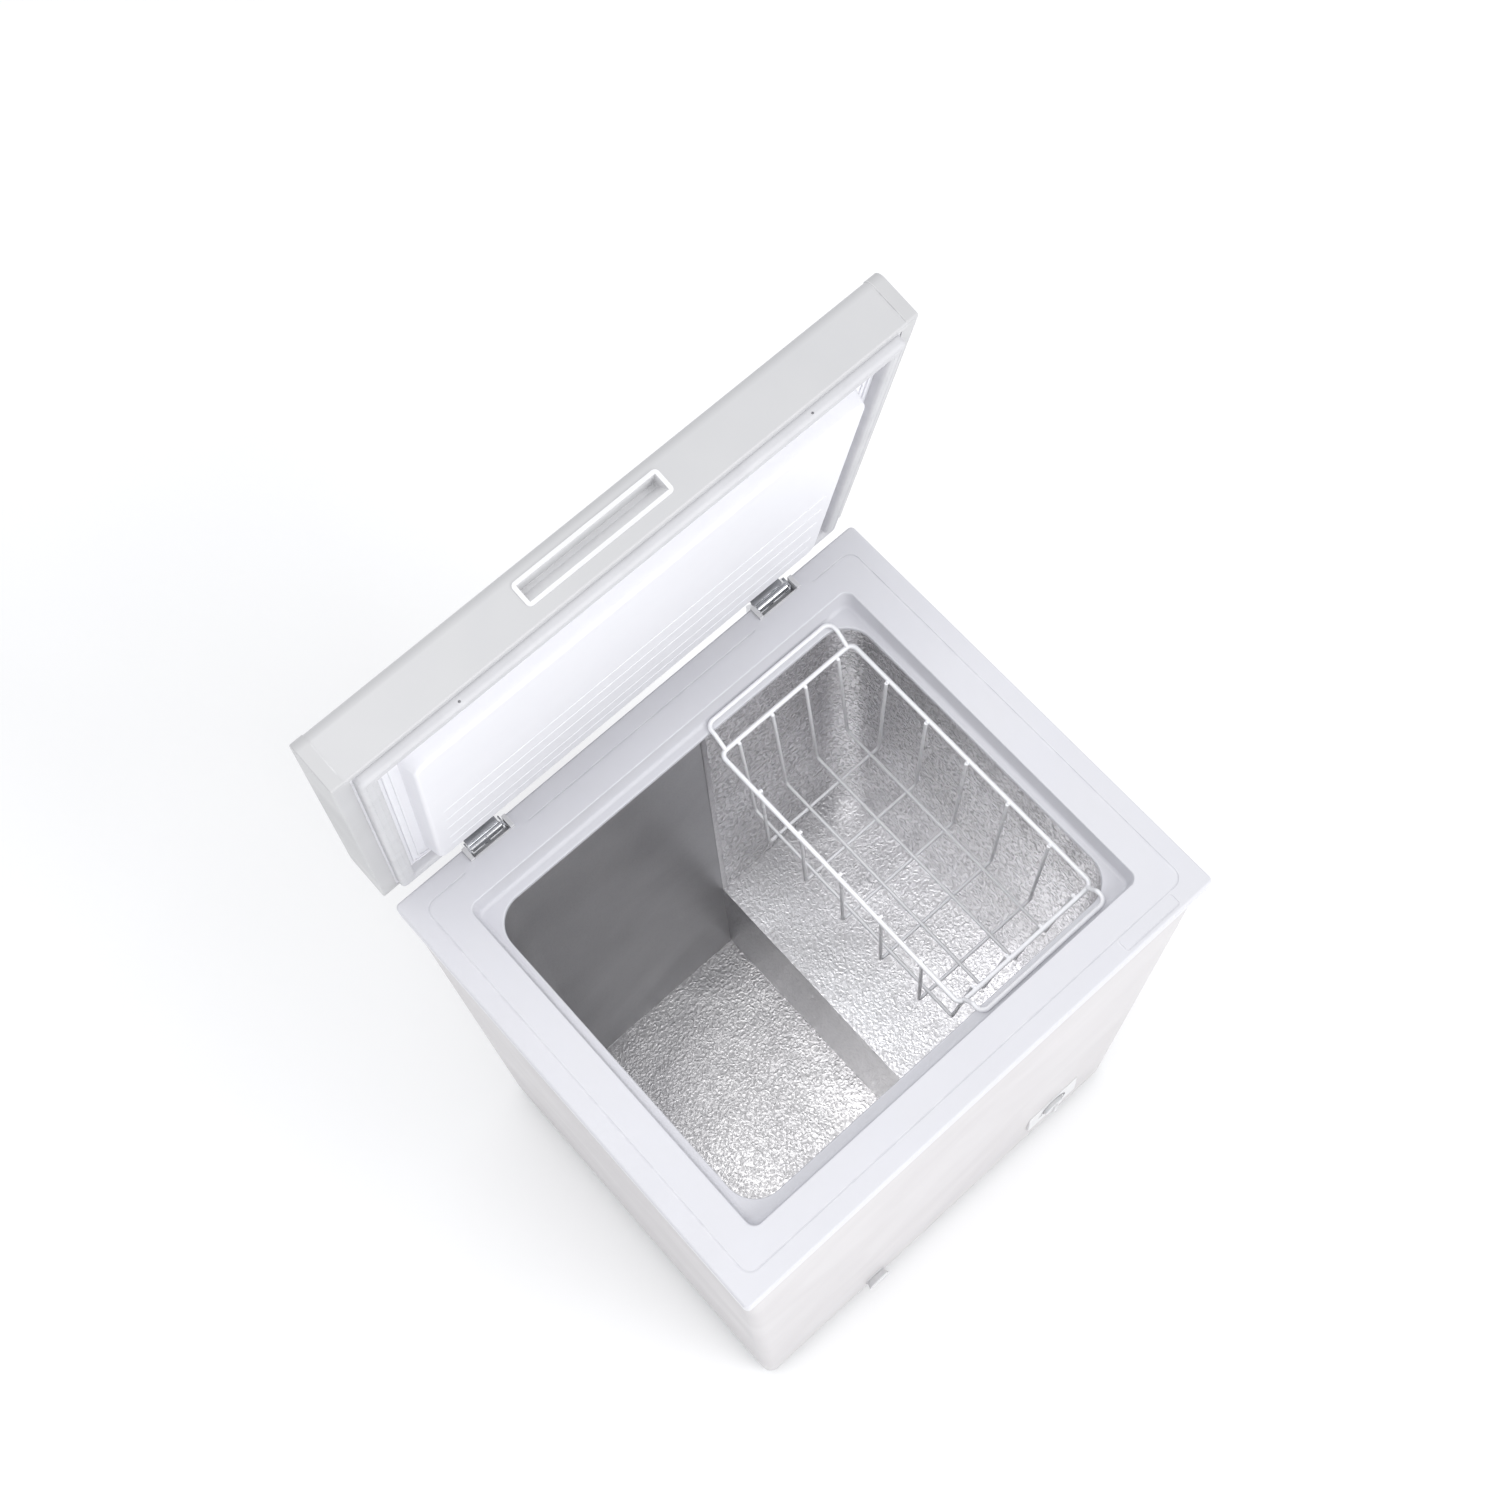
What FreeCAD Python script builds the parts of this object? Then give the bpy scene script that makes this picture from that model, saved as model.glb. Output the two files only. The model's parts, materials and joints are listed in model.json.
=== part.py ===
"""Small chest freezer, built as separate pieces.

Millimetres, +Z up. X runs left to right as seen from the front, and the front faces -Y.
The floor is Z = 0. The pieces are modelled about the cabinet's own middle, and put() moves
them so that the origin lies under the middle of the whole freezer with its lid standing open.
The lid is modelled closed, and put_lid() swings it open about its hinge pins.
"""
import FreeCAD, Part
import math
import os

from FreeCAD import Vector as V

os.makedirs("parts", exist_ok=True)

# ---------------------------------------------------------------- driving dimensions
CABINET_W = 545.0        # across the plastic top frame
CABINET_D = 464.0        # front to back over the top frame
CLOSED_H = 850.0         # floor to lid top, closed
FOOT_H = 12.0
FOOT_R = 19.0
FOOT_TOP_R = 15.0
FOOT_INSET = 38.0
SHEET = 0.8              # outer steel sheet
BODY_INSET = 4.0         # the steel body stands this far inside the top frame
BODY_R = 12.0            # front upright corners
BACK_R = 2.0             # rear upright corners
BACK_FLANGE = 16.0       # wrap turned in behind the foam
CLEAR = 0.3              # between pieces that are fitted loosely
HOLE_CLEAR = 0.1         # round a screw's shank
SCREW_R = 1.9
SCREW_HEAD_R = 4.0
SCREW_HEAD_H = 2.0
SCREW_L = 9.0
BACK_SCREWS = 5          # up each side of the back

FRAME_SKIRT = 22.0
FRAME_SKIN = 2.5         # moulded wall
FRAME_R = 5.0
FRAME_EDGE_R = 2.4
RECESS_W = 450.0         # shallow well in the frame that the lid's bulge sits in
RECESS_D = 374.0
RECESS_H = 22.0
RECESS_DRAFT = 3.0
RECESS_R = 9.0
RECESS_FLOOR_R = 4.0
MOUTH_W = 430.0          # opening through the frame
MOUTH_D = 347.0
MOUTH_R = 30.0
LIP_H = 5.0              # edge of the mouth, hanging over the liner
BEAD_INSET = 18.0        # engraved line round the frame top
BEAD_R = 12.0
BEAD_W = 1.6
BEAD_DEPTH = 0.6
BEAD_STOP = 36.0         # the line stops this far each side of a hinge
TAB_W = 65.0             # small engraved outline at the front right
TAB_RIGHT = 236.0
TAB_FRONT = 4.2

LINER_T = 0.8            # embossed aluminium
LINER_OVER_LIP = 0.5     # liner wall stands behind the lip
LINER_R = 33.0
CAVITY_H = 728.0         # frame top down to the deep floor
STEP_H = 512.0           # frame top down to the raised floor over the compressor
STEP_X = 34.0            # face of the step
STEP_FOAM = 50.0         # insulation between the machine bay and the liner

VENT_COUNT = 7           # slots in the right side, beside the compressor
VENT_W = 90.0
VENT_H = 4.0
VENT_PITCH = 14.0
VENT_LOW = 70.0
GRILLE_T = 2.0
GRILLE_MARGIN = 16.0
GRILLE_LAP = 6.0
GRILLE_SLOT_H = 5.0
GRILLE_SLOT_PITCH = 13.0
GLAND_R = 9.0
GLAND_BORE = 4.5
GLAND_L = 22.0

EVAP_R = 4.0
EVAP_TURNS = 6
EVAP_PITCH = 70.0
EVAP_RISE = 45.0         # first turn above the raised floor
COND_R = 2.5
COND_RUNS = 5
COND_PITCH = 85.0
COND_LOW = 80.0
COND_HIGH = 700.0
LINE_R = 3.0
CAPILLARY_R = 1.3
GROOVE = 0.3             # tubes lie in foam tunnels this much larger
WEB = 1.2                # foam left between a tube's tunnel and the sheet beside it
STUB_DROP = 20.0         # tube ends under the bay's ceiling

COMP_X = 176.0
COMP_Y = 112.0
COMP_R = 60.0
COMP_H = 148.0
COMP_FOOT_X = 76.0       # half the spacing of the compressor's feet
COMP_FOOT_Y = 50.0
COMP_PLATE_T = 3.0
GROMMET_H = 13.0
GROMMET_R = 9.0
GROMMET_NECK = 6.5
BOLT_R = 3.0
NUT_R = 5.6
NUT_H = 4.0
DRIER_R = 9.0
DRIER_L = 80.0

PANEL_X = 167.0          # thermostat panel, low on the right of the front
PANEL_W = 74.0
PANEL_H = 54.0
PANEL_DROP = 636.0       # frame top down to the panel
PANEL_LAP = 4.0          # its flange laid over the sheet
PANEL_FLANGE = 0.8
PANEL_PROUD = 4.0        # how far the foot of its sloping face stands out
PANEL_T = 2.0
KNOB_R = 14.0
KNOB_H = 8.0
KNOB_GRIP = 3.0
SHAFT_R = 3.0
SHAFT_FIT = 0.05
LAMP_W = 10.0
LAMP_H = 3.4

DRAIN_X = -105.0
DRAIN_DROP = 752.0       # frame top down to the outer drain mouth
DRAIN_FROM_WALL = 41.0   # inner mouth, behind the liner's front wall
DRAIN_BORE = 8.0
DRAIN_WALL = 2.0
DRAIN_BEND = 18.0
DRAIN_FLANGE = 1.4
CAP_R = 14.8
CAP_ROOT_R = 12.8
CAP_H = 7.2
PLUG_H = 3.4
PLUG_STEM = 6.0

HINGE_X = 171.0
HINGE_W = 50.0
HINGE_NOTCH_D = 14.5
HINGE_COVER_RISE = 3.5
HINGE_COVER_FLOOR = 16.0
CHEEK_T = 4.2
PIVOT_BACK = 2.0         # hinge pin, in front of the frame's back edge
PIVOT_DROP = 8.0         # and under the frame top
PIN_R = 2.0
PIN_FIT = 0.05
KNUCKLE_R = 4.2
HINGE_T = 1.5
BRACKET_HALF = 20.0
BRACKET_H = 96.0
EAR_H = 72.0
EAR_DEPTH = 16.0
EAR_TOP = 2.5
LEAF_HALF = 17.5
LEAF_REACH = 15.0
TAIL_L = 14.0
TAIL_RISE = 10.0         # degrees above level when the lid is closed
TAIL_HALF = 3.0
SPRING_COIL_R = 3.8
SPRING_WIRE_R = 0.9
SPRING_COILS = 9
SPRING_PITCH = 2.8
EYE_GAP = 0.5            # between a spring's eye and the pin it hangs on
HOOK_R = 0.8
ANCHOR_Y = 12.0
ANCHOR_DROP = 66.0
ANCHOR_R = 1.5

LID_T = 46.0
LID_GAP = 9.0            # closed gap between frame and lid rim, filled by the gasket
LID_FRONT_SETBACK = 2.0
LID_CAP_W = 11.5         # moulded end caps
LID_CAP_PROUD = 0.6
LID_SIDE_PROUD = 0.5     # the end caps pass the frame by this much
LID_FRONT_R = 9.0
LID_BACK_R = 5.0
LID_RIM_R = 2.0
LID_OPEN = 80.0          # degrees, as modelled
HEM = 8.0                # skin turned in under the lid's long edges
CAP_WALL = 2.5
CAP_SPIGOT = 12.0
CAP_SHELF = 15.0         # underside of an end cap
PLASTIC_T = 2.0
LINER_LAP = 4.0          # lid liner's edge, inside the lid's long edges
BULGE_DEPTH = 16.0
BULGE_FOOT_GAP = 3.5     # to the recess, at the foot of the bulge
BULGE_TOP_GAP = 8.0      # and at its flat face
BULGE_R = 12.0
GASKET_SIDE = 17.0
GASKET_FRONT = 8.5
GASKET_BACK = 17.0
GASKET_W = 15.0
GASKET_R = 6.0
GASKET_EDGE_R = 3.5
VENT_HOLE_X = 165.0      # small vent holes in the front of the gasket
VENT_HOLE_R = 1.1
HANDLE_X = -19.0
HANDLE_W = 135.0
HANDLE_H = 22.0
HANDLE_LOW = 12.7        # lid rim up to the bezel
HANDLE_BEZEL = 3.4
HANDLE_PROUD = 1.0
HANDLE_DEPTH = 18.0
HANDLE_BACK_H = 4.0      # height of the pocket at its deepest

BASKET_W = 162.0         # wire centre to wire centre, at the rim
BASKET_D = 314.0
BASKET_X = 121.0
BASKET_Y = -2.0
BASKET_H = 163.0
BASKET_DROP = 35.0       # rim under the frame top
BASKET_TAPER_X = 8.0
BASKET_TAPER_Y = 18.0
BASKET_R = 7.0
HANGER_REACH = 180.0
RIM_WIRE_R = 2.3
HANGER_WIRE_R = 2.1
MESH_WIRE_R = 1.7
LONG_WIRES = 4
CROSS_WIRES = 5
LONG_PITCH = 40.7
CROSS_PITCH = 53.0
WELD = 0.3               # wires sink this far into each other

# ---------------------------------------------------------------- sizes that follow
FRAME_TOP = CLOSED_H - LID_T - LID_GAP
HALF_W = CABINET_W / 2
HALF_D = CABINET_D / 2
BODY_X = HALF_W - BODY_INSET
BODY_Y = HALF_D - BODY_INSET
IN_X = BODY_X - SHEET                    # inside the steel sheet
IN_Y = BODY_Y - SHEET
FLANGE_Y = IN_Y - SHEET                  # front face of the wrap's back flange
BASE_TOP = FOOT_H + SHEET
STEEL_TOP = FRAME_TOP - FRAME_SKIN
MOUTH_X = MOUTH_W / 2
MOUTH_Y = MOUTH_D / 2
RECESS_X = RECESS_W / 2
RECESS_Y = RECESS_D / 2
LEDGE_Z = FRAME_TOP - RECESS_H
LEDGE_UNDER = LEDGE_Z - FRAME_SKIN
LIP_Z = LEDGE_Z - LIP_H
LINER_X = MOUTH_X + FRAME_SKIN + LINER_OVER_LIP
LINER_Y = MOUTH_Y + FRAME_SKIN + LINER_OVER_LIP
FLOOR_Z = FRAME_TOP - CAVITY_H
STEP_Z = FRAME_TOP - STEP_H
BAY_X = STEP_X + LINER_T + STEP_FOAM     # machine bay, inside the foam
BAY_TOP = STEP_Z - LINER_T - STEP_FOAM
BAY_CEILING = BAY_TOP - SHEET
NOTCH_Y = HALF_D - HINGE_NOTCH_D
NOTCH_Z = FRAME_TOP - HINGE_COVER_FLOOR - PLASTIC_T
PIVOT_Y = HALF_D - PIVOT_BACK
PIVOT_Z = FRAME_TOP - PIVOT_DROP
HINGES = {"left": -HINGE_X, "right": HINGE_X}
RIM_Z = FRAME_TOP + LID_GAP
LID_TOP = RIM_Z + LID_T
LID_FRONT = LID_FRONT_SETBACK - HALF_D
LID_BACK = HALF_D
LID_X = HALF_W + LID_SIDE_PROUD
SKIN_X = LID_X - LID_CAP_W
SHELF_X = LID_X - CAP_SHELF
LID_LINER_Z = RIM_Z + SHEET
LID_LINER_TOP = LID_LINER_Z + PLASTIC_T
LID_RADII = [LID_RIM_R, LID_RIM_R, LID_BACK_R, LID_FRONT_R]
DRAIN_Z = FRAME_TOP - DRAIN_DROP
DRAIN_Y = DRAIN_FROM_WALL - LINER_Y
DRAIN_R = DRAIN_BORE + DRAIN_WALL
PANEL_TOP = FRAME_TOP - PANEL_DROP
PANEL_LOW = PANEL_TOP - PANEL_H
DIAL_Z = PANEL_LOW + PANEL_H / 2
DIAL_SEAT = -BODY_Y - PANEL_FLANGE
LAMP_Z = PANEL_LOW + PANEL_LAP + 1.4
GRILLE_X0 = BAY_X + GRILLE_MARGIN
GRILLE_X1 = IN_X - GRILLE_MARGIN
GRILLE_Z0 = BASE_TOP + GRILLE_MARGIN
GRILLE_Z1 = BAY_TOP - GRILLE_MARGIN
GLAND_X = GRILLE_X0 + 26.0
GLAND_Z = GRILLE_Z0 + 26.0
COMP_PLATE_Z = BASE_TOP + GROMMET_H
EVAP_X = LINER_X + LINER_T + EVAP_R + GROOVE + WEB
EVAP_Y = LINER_Y + LINER_T + EVAP_R + GROOVE + WEB
EVAP_BEND = LINER_R + EVAP_R
EVAP_OUT_X = EVAP_X + 3 * EVAP_R
COND_X = IN_X - COND_R - GROOVE - WEB
COND_Y = FLANGE_Y - COND_R - GROOVE - WEB
COND_START = V(BAY_X + 14.0, COND_Y, BAY_TOP - 54.0)
COND_END_X = IN_X - DRIER_R - 3.0
COND_END = V(COND_END_X, -100.0, BAY_TOP - 44.0)
DRIER_LOW = COND_END.z - DRIER_L
EVAP_IN = V(EVAP_X, -110.0, BAY_TOP - STUB_DROP)
EVAP_OUT = V(EVAP_OUT_X, 90.0, BAY_TOP - STUB_DROP)
RIM_LEVEL = FRAME_TOP - BASKET_DROP


def swing(y, z):
    """Where a point of the closed lid lies when the lid stands open."""
    c = math.cos(math.radians(LID_OPEN))
    s = math.sin(math.radians(LID_OPEN))
    dy = y - PIVOT_Y
    dz = z - PIVOT_Z
    return PIVOT_Y + dy * c + dz * s, PIVOT_Z - dy * s + dz * c


REAR_MOST = swing(LID_BACK + LID_CAP_PROUD, LID_TOP)[0]
FRONT_MOST = DIAL_SEAT - CLEAR - KNOB_H
CABINET_Y = -(REAR_MOST + FRONT_MOST) / 2


# ---------------------------------------------------------------- tools
def put(node, shape):
    """Writes one piece, moved to its place over the origin."""
    moved = shape.copy()
    moved.translate(V(0, CABINET_Y, 0))
    moved.exportStep("parts/%s.step" % node)
    print("%-24s solids %2d volume %9.0f valid %s"
          % (node, len(moved.Solids), moved.Volume, moved.isValid()))


def put_lid(node, shape):
    """Writes one piece of the lid, swung open."""
    turned = shape.copy()
    turned.rotate(V(0, PIVOT_Y, PIVOT_Z), V(1, 0, 0), -LID_OPEN)
    put(node, turned)


def box(x0, x1, y0, y1, z0, z1):
    return Part.makeBox(x1 - x0, y1 - y0, z1 - z0, V(x0, y0, z0))


def cyl(r, length, start, direction=V(0, 0, 1)):
    return Part.makeCylinder(r, length, start, direction)


def loop(x0, x1, y0, y1, radii, z):
    """A rectangle's outline at height z with rounded corners.

    radii go round from (x0, y0): each is the radius of one corner."""
    corners = [(x0, y0), (x1, y0), (x1, y1), (x0, y1)]
    steps = [(1, 0), (0, 1), (-1, 0), (0, -1)]
    edges = []
    for i in range(4):
        (ax, ay), (bx, by) = corners[i], corners[(i + 1) % 4]
        sx, sy = steps[i]
        nx, ny = steps[(i + 1) % 4]
        r0 = radii[i]
        r1 = radii[(i + 1) % 4]
        end = V(bx - sx * r1, by - sy * r1, z)
        edges.append(Part.makeLine(V(ax + sx * r0, ay + sy * r0, z), end))
        if r1 > 0:
            bend = r1 * (1 - math.sqrt(0.5))
            mid = V(bx - (sx - nx) * bend, by - (sy - ny) * bend, z)
            after = V(bx + nx * r1, by + ny * r1, z)
            edges.append(Part.Arc(end, mid, after).toShape())
    return Part.Wire(edges)


def slab(x0, x1, y0, y1, r, z0, z1):
    """A block with rounded upright corners; r is one radius or a list of four."""
    radii = r if isinstance(r, list) else [r] * 4
    return Part.Face(loop(x0, x1, y0, y1, radii, z0)).extrude(V(0, 0, z1 - z0))


def bar(y0, y1, z0, z1, radii, x0, x1):
    """The same block lying along X: radii go round its section from (y0, z0)."""
    block = slab(y0, y1, z0, z1, radii, x0, x1)
    block.rotate(V(0, 0, 0), V(1, 1, 1), 120)
    return block


def pan(x_low, y_low, r_low, z_low, x_high, y_high, r_high, z_high, mid_y=0.0):
    """A block that tapers between two rounded rectangles, given by their half sizes."""
    low = loop(-x_low, x_low, mid_y - y_low, mid_y + y_low, [r_low] * 4, z_low)
    high = loop(-x_high, x_high, mid_y - y_high, mid_y + y_high, [r_high] * 4, z_high)
    return Part.makeLoft([low, high], True, True)


def along_x(points, x0, x1):
    """A closed outline of (y, z) points, drawn out along X."""
    wire = Part.makePolygon([V(x0, y, z) for y, z in points + points[:1]])
    return Part.Face(wire).extrude(V(x1 - x0, 0, 0))


def path(points, bends):
    """Straight runs through the points, joined by tangent arcs; bends is one radius or a list."""
    pts = [V(p) for p in points]
    radii = bends if isinstance(bends, list) else [bends] * (len(pts) - 2)
    edges = []
    last = pts[0]
    for before, corner, after, r in zip(pts, pts[1:], pts[2:], radii):
        a = (before - corner).normalize()
        b = (after - corner).normalize()
        half = a.getAngle(b) / 2
        reach = r / math.tan(half)
        start = corner + a * reach
        end = corner + b * reach
        mid = corner + (a + b).normalize() * (r / math.sin(half) - r)
        if (start - last).Length > 1e-6:
            edges.append(Part.makeLine(last, start))
        edges.append(Part.Arc(start, mid, end).toShape())
        last = end
    edges.append(Part.makeLine(last, pts[-1]))
    return Part.Wire(edges)


def sweep(wire, r):
    """A round bar of radius r along a wire."""
    first = wire.Edges[0]
    start = first.valueAt(first.FirstParameter)
    direction = first.tangentAt(first.FirstParameter)
    ring = Part.Wire(Part.makeCircle(r, start, direction))
    return wire.makePipeShell([ring], True, False)


def tube(points, bends, r):
    return sweep(path(points, bends), r)


def screw(head_r, head_h, shank_r, length, at, direction):
    """A pan-head screw with a cross slot; its head stands out along direction."""
    out = V(direction).normalize()
    body = cyl(head_r, head_h, at, out).fuse(cyl(shank_r, length, at - out * length, out))
    arm = head_r * 0.6
    width = head_r * 0.18
    slot = box(-arm, arm, -width, width, head_h * 0.45, head_h + 1)
    cross = slot.fuse(box(-width, width, -arm, arm, head_h * 0.45, head_h + 1))
    cross.Placement = FreeCAD.Placement(at, FreeCAD.Rotation(V(0, 0, 1), out))
    return body.cut(cross)


def sheet_screw(at, direction):
    return screw(SCREW_HEAD_R, SCREW_HEAD_H, SCREW_R, SCREW_L, at, direction)


def drill(shape, places, r, reach, direction):
    """Cuts a hole of radius r through the shape at each place, reach deep each way."""
    out = V(direction).normalize()
    for at in places:
        shape = shape.cut(cyl(r, 2 * reach, at - out * reach, out))
    return shape


def edges_at(shape, z, inside_x, inside_y, tol=0.05):
    """Edges of the shape at height z that lie within the given half sizes."""
    found = []
    for e in shape.Edges:
        b = e.BoundBox
        level = abs(b.ZMin - z) < tol and abs(b.ZMax - z) < tol
        within = max(-b.XMin, b.XMax) < inside_x and max(-b.YMin, b.YMax) < inside_y
        if level and within:
            found.append(e)
    return found


# ---------------------------------------------------------------- places that pieces share
SCREW_HOLE = SCREW_R + HOLE_CLEAR
BACK = V(0, 1, 0)
FRONT = V(0, -1, 0)


def back_screw_places():
    rise = (LEDGE_UNDER - FOOT_H - 80) / (BACK_SCREWS - 1)
    heights = [FOOT_H + 40 + i * rise for i in range(BACK_SCREWS)]
    return [V(x, BODY_Y, z) for x in (9 - BODY_X, BODY_X - 9) for z in heights]


def bracket_screw_places(x):
    return [V(x, BODY_Y + HINGE_T, FRAME_TOP - drop) for drop in (BRACKET_H - 7, BRACKET_H - 18)]


def grille_screw_places():
    inset = GRILLE_LAP / 2 + 1
    xs = (GRILLE_X0 + inset, GRILLE_X1 - inset)
    zs = (GRILLE_Z0 + inset, GRILLE_Z1 - inset)
    return [V(x, BODY_Y + GRILLE_T, z) for x in xs for z in zs]


def hinge_notch(x, low, grow=0.0):
    half = HINGE_W / 2 + grow
    return box(x - half, x + half, NOTCH_Y - grow, HALF_D + 20, low, FRAME_TOP + 20)


def compressor_feet():
    return [(COMP_X + i * COMP_FOOT_X, COMP_Y + j * COMP_FOOT_Y) for i in (-1, 1) for j in (-1, 1)]


def evaporator_points():
    """From the bay up to the first turn, round the liner, and back down outside the turns."""
    z = STEP_Z + EVAP_RISE
    points = [EVAP_IN, V(EVAP_X, EVAP_IN.y, z), V(EVAP_X, EVAP_Y, z)]
    bends = [EVAP_BEND / 2, EVAP_BEND]
    for i in range(1, EVAP_TURNS):
        z += EVAP_PITCH
        points += [V(-EVAP_X, EVAP_Y, z), V(-EVAP_X, -EVAP_Y, z), V(EVAP_X, -EVAP_Y, z)]
        bends += [EVAP_BEND] * 3
        if i < EVAP_TURNS - 1:
            points.append(V(EVAP_X, EVAP_Y, z))
            bends.append(EVAP_BEND)
    points += [V(EVAP_X, 0, z), V(EVAP_OUT_X, 40, z), V(EVAP_OUT_X, EVAP_OUT.y, z), EVAP_OUT]
    bends += [EVAP_BEND / 2] * 3
    return points, bends


def condenser_points():
    """Behind the back sheet, up and down the left side, and over the front to the right."""
    points = [COND_START, V(-COND_X, COND_Y, COND_START.z)]
    y = COND_PITCH * (COND_RUNS - 1) / 2
    points.append(V(-COND_X, y, COND_START.z))
    z = COND_HIGH
    for i in range(COND_RUNS):
        points.append(V(-COND_X, y, z))
        if i < COND_RUNS - 1:
            y -= COND_PITCH
            points.append(V(-COND_X, y, z))
            z = COND_LOW if z == COND_HIGH else COND_HIGH
    front_y = COND_R + GROOVE + WEB - IN_Y
    points += [V(-COND_X, front_y, z), V(COND_END.x, front_y, z)]
    points += [V(COND_END.x, COND_END.y, z), COND_END]
    return points, 14.0


def capillary_points():
    foot = DRIER_LOW - 50
    return [V(COND_END.x, COND_END.y, DRIER_LOW), V(COND_END.x, COND_END.y, foot),
            V(EVAP_IN.x, EVAP_IN.y, foot), EVAP_IN]


def drain_points():
    return [V(DRAIN_X, DRAIN_Y, FLOOR_Z), V(DRAIN_X, DRAIN_Y, DRAIN_Z), V(DRAIN_X, -BODY_Y, DRAIN_Z)]


# ---------------------------------------------------------------- feet and outer body
def make_feet():
    for side, x in (("left", -1), ("right", 1)):
        for end, y in (("front", -1), ("rear", 1)):
            at = V(x * (BODY_X - FOOT_INSET), y * (BODY_Y - FOOT_INSET), 0)
            foot = Part.makeCone(FOOT_R, FOOT_TOP_R, FOOT_H, at)
            foot = foot.makeFillet(2.0, [e for e in foot.Edges if e.BoundBox.ZMax < 0.01])
            put("foot_%s_%s" % (end, side), foot)


def make_base():
    """Floor sheet with its edges turned up inside the wrap."""
    r = BODY_R - SHEET
    corners = [r, r, 2.0, 2.0]
    inner = [r - SHEET, r - SHEET, 1.2, 1.2]
    top = BASE_TOP + FOOT_H
    base = slab(-IN_X, IN_X, -IN_Y, FLANGE_Y, corners, FOOT_H, top)
    side = IN_X - SHEET
    base = base.cut(slab(-side, side, SHEET - IN_Y, FLANGE_Y - SHEET, inner, BASE_TOP, top + 1))
    for x, y in compressor_feet():
        base = base.cut(cyl(BOLT_R + HOLE_CLEAR, 10, V(x, y, FOOT_H - 5)))
    put("base_plate", base)
    return base


def make_wrap():
    """Front and both sides bent from one steel sheet, with a flange turned in at the back."""
    r = BODY_R - SHEET
    wrap = slab(-BODY_X, BODY_X, -BODY_Y, IN_Y, [BODY_R, BODY_R, 2, 2], FOOT_H, STEEL_TOP)
    wrap = wrap.cut(slab(-IN_X, IN_X, -IN_Y, FLANGE_Y, [r, r, 1.2, 1.2], FOOT_H, STEEL_TOP))
    gap = BODY_X - BACK_FLANGE
    wrap = wrap.cut(box(-gap, gap, FLANGE_Y - 1, IN_Y + 1, FOOT_H, STEEL_TOP))
    half = PANEL_W / 2 - PANEL_LAP
    wrap = wrap.cut(box(PANEL_X - half, PANEL_X + half, -BODY_Y - 1, -IN_Y + 1,
                        PANEL_LOW + PANEL_LAP, PANEL_TOP - PANEL_LAP))
    wrap = drill(wrap, [V(DRAIN_X, -BODY_Y, DRAIN_Z)], DRAIN_R + HOLE_CLEAR, 3, FRONT)
    for i in range(VENT_COUNT):
        z = VENT_LOW + i * VENT_PITCH
        y = COMP_Y - VENT_W / 2
        wrap = wrap.cut(box(IN_X - 1, BODY_X + 1, y, y + VENT_W, z, z + VENT_H))
    wrap = drill(wrap, back_screw_places(), SCREW_HOLE, 4, BACK)
    put("cabinet_wrap", wrap)
    return wrap


def make_back():
    """Flat back sheet with a window for the machine bay's grille."""
    back = box(2 - BODY_X, BODY_X - 2, IN_Y, BODY_Y, FOOT_H, STEEL_TOP)
    for x in HINGES.values():
        back = back.cut(hinge_notch(x, NOTCH_Z))
        back = drill(back, bracket_screw_places(x), SCREW_HOLE, 4, BACK)
    back = drill(back, back_screw_places(), SCREW_HOLE, 4, BACK)
    back = back.cut(box(GRILLE_X0 + 2 * GRILLE_LAP, GRILLE_X1 - 2 * GRILLE_LAP, IN_Y - 1, BODY_Y + 1,
                        GRILLE_Z0 + 2 * GRILLE_LAP, GRILLE_Z1 - 2 * GRILLE_LAP))
    back = drill(back, grille_screw_places(), SCREW_HOLE, 4, BACK)
    put("back_panel", back)
    put("back_screws", Part.makeCompound([sheet_screw(at, BACK) for at in back_screw_places()]))


def make_grille():
    """Louvred plastic cover over the machine bay, and the mains inlet's gland in its corner."""
    grille = box(GRILLE_X0, GRILLE_X1, BODY_Y, BODY_Y + GRILLE_T, GRILLE_Z0, GRILLE_Z1)
    upright = [e for e in grille.Edges if abs(e.tangentAt(0).y) > 0.9]
    grille = grille.makeFillet(4.0, upright)
    slot_w = (GRILLE_X1 - GRILLE_X0) / 2 - 2 * GRILLE_MARGIN + 4
    middle = (GRILLE_X0 + GRILLE_X1) / 2
    first = GLAND_Z + GLAND_R + 14
    count = int((GRILLE_Z1 - GRILLE_MARGIN - first) / GRILLE_SLOT_PITCH)
    for i in range(count):
        z = first + i * GRILLE_SLOT_PITCH
        for side in (-1, 1):
            x = middle + side * (slot_w / 2 + 4)
            grille = grille.cut(box(x - slot_w / 2, x + slot_w / 2, BODY_Y - 1, BODY_Y + 9,
                                    z, z + GRILLE_SLOT_H))
    gland_at = V(GLAND_X, BODY_Y + GRILLE_T, GLAND_Z)
    grille = drill(grille, [gland_at], GLAND_R, 6, BACK)
    grille = drill(grille, grille_screw_places(), SCREW_HOLE, 6, BACK)
    put("rear_grille", grille)
    put("grille_screws", Part.makeCompound([sheet_screw(at, BACK) for at in grille_screw_places()]))
    inner = V(GLAND_X, BODY_Y - 8, GLAND_Z)
    gland = cyl(GLAND_R, 8 + GRILLE_T, inner, BACK)
    gland = gland.fuse(cyl(GLAND_R + 2.5, 3.0, gland_at, BACK))
    gland = gland.fuse(Part.makeCone(GLAND_R, GLAND_BORE + 2.5, GLAND_L - 11.0 - GRILLE_T,
                                     gland_at + V(0, 3, 0), BACK))
    gland = gland.cut(cyl(GLAND_BORE, GLAND_L + 10, inner - V(0, 2, 0), BACK))
    put("power_inlet_gland", gland)


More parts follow.
